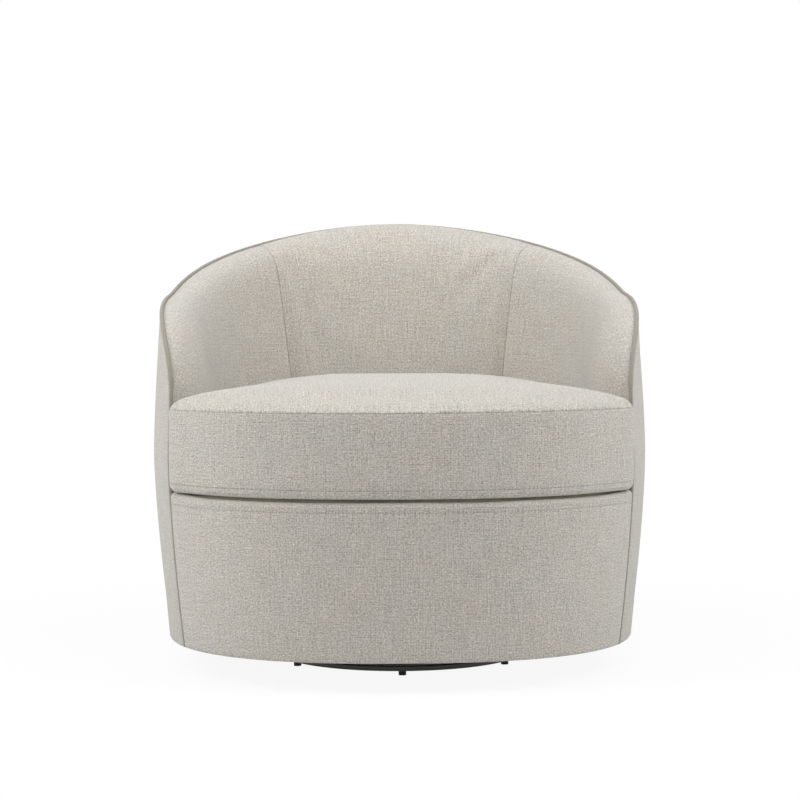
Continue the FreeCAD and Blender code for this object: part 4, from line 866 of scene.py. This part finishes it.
def fabric(name, color, cool, pitch=WEAVE_PITCH, speckle=0.95, streaks=1.5, two_sided_box=False,
           stitched=False, turn=0.0, seam_shade=0.0):
    """Plain woven upholstery cloth on the millimetre weave coordinates of a mesh."""
    s = Shader(name, color, 0.92)
    s.surface.inputs["Sheen Weight"].default_value = 0.38
    s.surface.inputs["Sheen Roughness"].default_value = 0.45
    s.surface.inputs["Sheen Tint"].default_value = (0.93, 0.97, 1.0, 1)
    s.surface.inputs["Specular IOR Level"].default_value = 0.25
    vector = s.attribute("weave", vector=True)
    seam = s.attribute("seam")
    if two_sided_box:
        low = s.attribute("low_seam")
        on_side = s.math("MULTIPLY", s.math("LESS_THAN", seam, 0.0), s.math("GREATER_THAN", low, -9.5))
        choose = s.add("ShaderNodeMix", data_type="VECTOR")
        s.put(on_side, choose.inputs[0])
        s.put(vector, choose.inputs[4])
        s.put(s.attribute("weave_side", vector=True), choose.inputs[5])
        vector = choose.outputs[1]
    if turn:
        vector = s.stretched(vector, (1.0, 1.0, 1.0), turn)
    wander = s.add("ShaderNodeTexNoise")
    s.put(vector, wander.inputs["Vector"])
    wander.inputs["Scale"].default_value = 0.09
    wander.inputs["Detail"].default_value = 2.0
    offset = s.add("ShaderNodeVectorMath", operation="MULTIPLY_ADD")
    s.put(wander.outputs["Color"], offset.inputs[0])
    offset.inputs[1].default_value = (2.6, 2.6, 0.0)
    s.put(vector, offset.inputs[2])
    split = s.add("ShaderNodeSeparateXYZ")
    s.put(offset.outputs[0], split.inputs[0])
    across = s.math("DIVIDE", split.outputs[0], pitch)
    along = s.math("DIVIDE", split.outputs[1], pitch)
    warp = s.math("ABSOLUTE", s.math("SINE", s.math("MULTIPLY", across, math.pi)))
    weft = s.math("ABSOLUTE", s.math("SINE", s.math("MULTIPLY", along, math.pi)))
    checker = s.math("MULTIPLY", s.math("SINE", s.math("MULTIPLY", s.math("ADD", across, 0.5), math.pi)),
                     s.math("SINE", s.math("MULTIPLY", s.math("ADD", along, 0.5), math.pi)))
    over = s.spread(checker, -0.35, 0.35, 0.0, 1.0)
    height = s.math("ADD", s.math("MULTIPLY", warp, over),
                    s.math("MULTIPLY", weft, s.math("SUBTRACT", 1.0, over)))
    slub_up = s.noise(s.stretched(vector, (0.42, 0.022, 1.0)), 1.0, 3.0, 0.6)
    slub_across = s.noise(s.stretched(vector, (0.022, 0.42, 1.0)), 1.0, 3.0, 0.6)
    fleck = s.noise(vector, 0.36, 3.0, 0.72)
    fuzz = s.noise(vector, 2.4, 2.0, 0.6)
    cloud = s.noise(vector, 0.012, 2.0, 0.5)
    # The tone carries random tone in the yarn together with painted shade from the weave, the seams and the
    # stitch holes.
    tone_and_shade = s.spread(fleck, 0.28, 0.72, -speckle / 2, speckle / 2)
    tone_and_shade = s.math("ADD", tone_and_shade, s.spread(slub_up, 0.25, 0.75, -0.10 * streaks, 0.10 * streaks))
    tone_and_shade = s.math("ADD", tone_and_shade, s.spread(slub_across, 0.25, 0.75, -0.07 * streaks, 0.07 * streaks))
    # Painted shade and highlight: the valleys between threads are darkened and the thread tops lightened,
    # standing in for the shade and light that the weave's relief catches.
    tone_and_shade = s.math("ADD", tone_and_shade, s.spread(height, 0.0, 1.0, -0.26, 0.13))
    tone_and_shade = s.math("ADD", tone_and_shade, s.spread(fuzz, 0.3, 0.7, -0.05, 0.05))
    tone_and_shade = s.math("ADD", tone_and_shade, 1.0)
    body = s.mix(s.spread(cloud, 0.35, 0.65, 0.0, 1.0), color, cool)
    body = s.mix(s.spread(fleck, 0.6, 0.78, 0.0, 0.35), body, (0.60, 0.575, 0.53))
    total = s.math("ADD", height, s.math("MULTIPLY", fleck, 0.9))
    total = s.math("ADD", total, s.math("MULTIPLY", slub_up, 0.3 * streaks))
    # Painted shade: the cloth is darkened along the panel and cushion seams, standing in for the shade in
    # each seam's groove; the bump dips there too.
    if seam_shade:
        line = s.bell(seam, 0.9)
        if two_sided_box:
            line = s.math("MAXIMUM", line, s.bell(low, 0.9))
        tone_and_shade = s.math("MULTIPLY", tone_and_shade, s.spread(line, 0.0, 1.0, 1.0, 1.0 - seam_shade))
        total = s.math("SUBTRACT", total, s.math("MULTIPLY", line, 2.0))
    if stitched:
        stitch = s.bell(s.attribute("stitch"), 0.7)
        place = s.math("FRACT", s.math("DIVIDE", split.outputs[0], 5.2))
        dash = s.math("MULTIPLY", s.math("GREATER_THAN", place, 0.22), stitch)
        # Painted shade: the cloth is darkened at the needle holes between the stitch dashes, standing in for
        # the shade in them.
        hole_shade = s.math("MULTIPLY", s.math("LESS_THAN", place, 0.22), s.bell(s.attribute("stitch"), 1.1))
        tone_and_shade = s.math("MULTIPLY", tone_and_shade, s.spread(hole_shade, 0.0, 1.0, 1.0, 0.6))
        tone_and_shade = s.math("MULTIPLY", tone_and_shade, s.spread(dash, 0.0, 1.0, 1.0, 0.92))
        total = s.math("ADD", total, s.math("MULTIPLY", dash, 1.3))
        total = s.math("SUBTRACT", total, s.math("MULTIPLY", hole_shade, 1.6))
    s.bump(total, 0.00042)
    rough = s.spread(fleck, 0.3, 0.7, 0.86, 0.97)
    return s.finish(s.scaled(body, tone_and_shade), rough)


def metal(name, color, roughness, grain, metallic=1.0, wear=None):
    s = Shader(name, color, roughness, metallic)
    fine = s.noise(s.place(), grain, 4.0, 0.6)
    broad = s.noise(s.place(), 34.0, 3.0, 0.5)
    shade = s.scaled(color, s.spread(broad, 0.3, 0.7, 0.88, 1.1))
    if wear:
        shade = s.mix(s.spread(s.noise(s.place(), 210.0, 5.0, 0.75), 0.66, 0.74, 0.0, 0.55), shade, wear)
    s.bump(fine, 0.00006, 0.8)
    return s.finish(shade, s.spread(fine, 0.3, 0.7, roughness * 0.8, min(roughness * 1.25, 1.0)))


def wood(name, light, dark, scale, layers=False):
    s = Shader(name, light, 0.6)
    grain = s.noise(s.stretched(s.place(), scale), 1.0, 5.0, 0.62)
    pores = s.noise(s.stretched(s.place(), tuple(value * 6 for value in scale)), 1.0, 2.0, 0.7)
    shade = s.mix(s.spread(grain, 0.36, 0.64, 0.0, 1.0), light, dark)
    shade = s.mix(s.spread(pores, 0.62, 0.78, 0.0, 0.5), shade, tuple(value * 0.55 for value in dark))
    height = s.math("ADD", grain, s.math("MULTIPLY", pores, -0.6))
    if layers:
        split = s.add("ShaderNodeSeparateXYZ")
        s.put(s.place(), split.inputs[0])
        band = s.math("SINE", s.math("MULTIPLY", split.outputs[2], 2 * math.pi / 0.003))
        shade = s.mix(s.spread(band, -0.4, 0.4, 0.0, 0.35), shade, dark)
    s.bump(height, 0.0002, 0.7)
    return s.finish(shade, s.spread(grain, 0.3, 0.7, 0.52, 0.72))


def fibrous(name, light, dark, scale, roughness=0.9, depth=0.0003):
    s = Shader(name, light, roughness)
    fibres = s.noise(s.stretched(s.place(), (scale, scale * 0.35, scale)), 1.0, 4.0, 0.7)
    crossing = s.noise(s.stretched(s.place(), (scale * 0.35, scale, scale)), 1.0, 4.0, 0.7)
    both = s.math("MULTIPLY", s.math("ADD", fibres, crossing), 0.5)
    shade = s.mix(s.spread(both, 0.38, 0.62, 0.0, 1.0), light, dark)
    s.bump(both, depth)
    return s.finish(shade, s.spread(both, 0.3, 0.7, roughness * 0.92, min(roughness * 1.06, 1.0)))


def cellular(name, light, dark, scale):
    s = Shader(name, light, 0.95)
    cells = s.cells(s.place(), scale)
    broad = s.noise(s.place(), 18.0, 2.0, 0.5)
    shade = s.mix(s.spread(cells, 0.1, 0.7, 1.0, 0.0), light, dark)
    shade = s.mix(s.spread(broad, 0.4, 0.6, 0.0, 0.18), shade, dark)
    s.bump(cells, 0.0005)
    return s.finish(shade, s.spread(cells, 0.0, 0.7, 0.98, 0.86))


def plastic(name, color, grain, roughness=0.5):
    s = Shader(name, color, roughness)
    fine = s.noise(s.place(), grain, 3.0, 0.6)
    broad = s.noise(s.place(), 60.0, 2.0, 0.5)
    s.bump(fine, 0.00008)
    return s.finish(s.scaled(color, s.spread(broad, 0.3, 0.7, 0.9, 1.1)),
                    s.spread(fine, 0.3, 0.7, roughness * 0.85, min(roughness * 1.15, 1.0)))


upholstery = fabric("upholstery_weave", FABRIC, FABRIC_COOL, seam_shade=0.16)
cushion_cloth = fabric("cushion_weave", FABRIC, FABRIC_COOL, two_sided_box=True, seam_shade=0.16)
apron_cloth = fabric("apron_weave", FABRIC, FABRIC_COOL, stitched=True)
wrap_cloth = fabric("outer_weave", FABRIC, FABRIC_COOL, speckle=0.6)
# Painted shade: the cord's cloth is given darker colours than the panels' cloth.
welt_shaded_cloth = fabric("welt_weave_painted_shade", WELT_PAINTED_SHADE, (0.34, 0.31, 0.265), pitch=1.3, speckle=0.3, streaks=0.3)
deck_weave = fabric("deck_weave", (0.40, 0.37, 0.33), (0.38, 0.36, 0.33), pitch=1.1, speckle=0.15,
                    streaks=0.4)
dust_weave = fibrous("dust_weave", (0.012, 0.012, 0.013), (0.032, 0.032, 0.033), 900.0)
tape_weave = fabric("zipper_tape_weave", (0.40, 0.37, 0.33), (0.40, 0.37, 0.33), pitch=0.8, speckle=0.1,
                    streaks=0.2, turn=45.0)

PIECES = (
    (back_panel, "chair", "upholstery_fabric", upholstery, ("inside_back_cover", "back_foam")),
    (left_panel, "chair", "upholstery_fabric", upholstery,
     ("left_arm_cover", "left_arm_foam", "left_arm_front_pad")),
    (right_panel, "chair", "upholstery_fabric", upholstery,
     ("right_arm_cover", "right_arm_foam", "right_arm_front_pad")),
    (wrap_panel, "chair", "upholstery_fabric", wrap_cloth, ("outer_wrap",)),
    (apron_panel, "chair", "upholstery_fabric", apron_cloth, ("apron_cover", "apron_pad")),
    (cord_tube, "chair", "welt_fabric", welt_shaded_cloth, ("welt_cord",)),
    (deck_panel, "chair", "deck_fabric", deck_weave, ("deck_cloth",)),
    (dust_panel, "chair", "dust_cloth", dust_weave, ("dust_cover",)),
    (cushion, "seat_cushion", "upholstery_fabric", cushion_cloth,
     ("cushion_top_panel", "cushion_boxing", "cushion_bottom_panel", "cushion_core")),
    (tape_panel, "seat_cushion", "zipper_cloth", tape_weave, ("zipper_tape",)),
)
for piece, body, slot_name, look, nodes in PIECES:
    piece.data.materials.append(look)
    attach(piece, body)
    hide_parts(*nodes)

black_steel = metal("black_powder_coat", (0.009, 0.009, 0.01), 0.4, 1400.0, 0.0)
plated = metal("zinc_plate", (0.62, 0.62, 0.60), 0.34, 700.0, 1.0, wear=(0.42, 0.41, 0.39))
cage_metal = metal("cage_steel", (0.40, 0.39, 0.38), 0.42, 900.0, 1.0)
ball_metal = metal("ball_steel", (0.72, 0.72, 0.73), 0.12, 300.0, 1.0)
spring_metal = metal("spring_steel", (0.20, 0.19, 0.185), 0.45, 800.0, 1.0, wear=(0.30, 0.22, 0.16))
plywood = wood("plywood_layers", (0.62, 0.46, 0.29), (0.44, 0.29, 0.16), (14.0, 120.0, 120.0), layers=True)
hardwood = wood("frame_timber", (0.52, 0.37, 0.22), (0.36, 0.23, 0.12), (90.0, 90.0, 9.0))
hardboard = fibrous("hardboard_fibre", (0.24, 0.155, 0.085), (0.155, 0.095, 0.05), 420.0, 0.7, 0.00015)
card = fibrous("card_fibre", (0.46, 0.38, 0.28), (0.36, 0.29, 0.21), 600.0, 0.9, 0.0001)
felt = fibrous("felt_fibre", (0.30, 0.30, 0.31), (0.12, 0.125, 0.14), 520.0, 1.0, 0.0008)
foam = cellular("foam_cells", (0.82, 0.76, 0.56), (0.66, 0.58, 0.38), 900.0)
rubber = plastic("rubber_grain", (0.016, 0.016, 0.017), 1600.0, 0.8)
nylon = plastic("zipper_nylon_gloss", (0.42, 0.39, 0.35), 1200.0, 0.4)
slider_metal = metal("slider_enamel", (0.36, 0.33, 0.29), 0.36, 800.0, 0.6, wear=(0.55, 0.54, 0.52))
LOOKS = {
    "plywood": plywood, "frame_wood": hardwood, "hardboard": hardboard, "card_strip": card,
    "black_steel": black_steel, "plated_steel": plated, "cage_steel": cage_metal,
    "ball_steel": ball_metal, "spring_steel": spring_metal, "rubber_feet": rubber,
    "zipper_nylon": nylon, "zipper_metal": slider_metal, "felt": felt, "foam": foam,
    "upholstery_fabric": wrap_cloth, "welt_fabric": welt_shaded_cloth, "deck_fabric": deck_weave,
    "dust_cloth": dust_weave, "zipper_cloth": tape_weave,
}
for row in frame["record"]["subparts"]:
    obj = frame["nodes"][row["node"]]
    obj.data.materials.clear()
    obj.data.materials.append(LOOKS[row["material_slot"]])

# Floor, light and camera

FLOOR_REACH = 30.0
FLOOR_GREY = (0.80, 0.80, 0.80)
floor_corners = [(FLOOR_REACH * x, FLOOR_REACH * y, 0.0) for x, y in ((-1, -1), (1, -1), (1, 1), (-1, 1))]
floor_mesh = bpy.data.meshes.new("floor")
floor_mesh.from_pydata(floor_corners, [], [(0, 1, 2, 3)])
floor = linked("floor", floor_mesh)
paint = Shader("pale_floor", FLOOR_GREY, 0.9)
paths = paint.add("ShaderNodeLightPath")
seen = paint.math("MAXIMUM", paths.outputs["Is Camera Ray"], paths.outputs["Is Glossy Ray"])
seen = paint.math("MAXIMUM", seen, paths.outputs["Is Transmission Ray"])
spot = paint.add("ShaderNodeVectorMath", operation="LENGTH")
paint.put(paint.place(), spot.inputs[0])
fade = paint.spread(spot.outputs["Value"], 0.6, 1.4, 0.92, 1.0)
grain = paint.noise(paint.place(), 30.0, 2.0, 0.5)
paint.put(paint.scaled(FLOOR_GREY, paint.spread(grain, 0.3, 0.7, 0.985, 1.0)),
          paint.surface.inputs["Base Color"])
glow = paint.add("ShaderNodeEmission")
glow.inputs["Strength"].default_value = 1.0
blend = paint.add("ShaderNodeMixShader")
paint.put(paint.math("MULTIPLY", seen, fade), blend.inputs[0])
paint.put(paint.surface.outputs[0], blend.inputs[1])
paint.put(glow.outputs[0], blend.inputs[2])
output = next(node for node in paint.tree.nodes if node.type == "OUTPUT_MATERIAL")
paint.put(blend.outputs[0], output.inputs["Surface"])
floor_mesh.materials.append(paint.material)

scene = bpy.context.scene
world = bpy.data.worlds.new("studio")
scene.world = world
world.use_nodes = True
tree = world.node_tree
tree.nodes.clear()
ambient = tree.nodes.new("ShaderNodeBackground")
ambient.inputs["Color"].default_value = (1, 1, 1, 1)
ambient.inputs["Strength"].default_value = 0.24
white = tree.nodes.new("ShaderNodeBackground")
white.inputs["Color"].default_value = (1, 1, 1, 1)
white.inputs["Strength"].default_value = 1.0
paths = tree.nodes.new("ShaderNodeLightPath")
choice = tree.nodes.new("ShaderNodeMixShader")
either = tree.nodes.new("ShaderNodeMath")
either.operation = "MAXIMUM"
either_glass = tree.nodes.new("ShaderNodeMath")
either_glass.operation = "MAXIMUM"
sky = tree.nodes.new("ShaderNodeOutputWorld")
tree.links.new(paths.outputs["Is Camera Ray"], either.inputs[0])
tree.links.new(paths.outputs["Is Glossy Ray"], either.inputs[1])
tree.links.new(either.outputs[0], either_glass.inputs[0])
tree.links.new(paths.outputs["Is Transmission Ray"], either_glass.inputs[1])
tree.links.new(either_glass.outputs[0], choice.inputs[0])
tree.links.new(ambient.outputs[0], choice.inputs[1])
tree.links.new(white.outputs[0], choice.inputs[2])
tree.links.new(choice.outputs[0], sky.inputs["Surface"])


def softbox(name, place, target, width, height, power):
    light = bpy.data.lights.new(name, "AREA")
    light.shape = "RECTANGLE"
    light.size = width
    light.size_y = height
    light.energy = power
    obj = bpy.data.objects.new(name, light)
    scene.collection.objects.link(obj)
    obj.location = place
    obj.rotation_euler = (Vector(target) - Vector(place)).to_track_quat("-Z", "Y").to_euler()


softbox("overhead", (0.0, -0.5, 3.0), (0.0, 0.0, 0.4), 3.0, 2.6, 34.5)
softbox("left_side", (-2.2, -0.7, 2.0), (0.0, 0.0, 0.5), 1.8, 1.8, 60.0)
softbox("right_side", (2.2, -0.7, 2.0), (0.0, 0.0, 0.5), 1.8, 1.8, 53.0)
softbox("front_fill", (0.0, -2.8, 2.8), (0.0, 0.2, 0.6), 2.2, 1.2, 12.0)

SENSOR_WIDTH, FOCAL_LENGTH = 36.0, 95.9
CAMERA_DISTANCE, CAMERA_HEIGHT, CAMERA_TILT = 3.5, 0.56, 2.26
VIEW_TURN = math.radians(-1.0)
VIEW_ROLL = math.radians(0.25)
lens = bpy.data.cameras.new("camera")
lens.sensor_width = SENSOR_WIDTH
lens.lens = FOCAL_LENGTH
camera = bpy.data.objects.new("camera", lens)
scene.collection.objects.link(camera)
camera.location = (CAMERA_DISTANCE * math.sin(VIEW_TURN), -CAMERA_DISTANCE * math.cos(VIEW_TURN),
                   CAMERA_HEIGHT)
level = Euler((math.radians(90 - CAMERA_TILT), 0.0, VIEW_TURN)).to_matrix()
camera.rotation_euler = (level @ Matrix.Rotation(-VIEW_ROLL, 3, "Z")).to_euler()
lens.shift_x = 0.0012
scene.camera = camera
scene.view_settings.view_transform = "Standard"
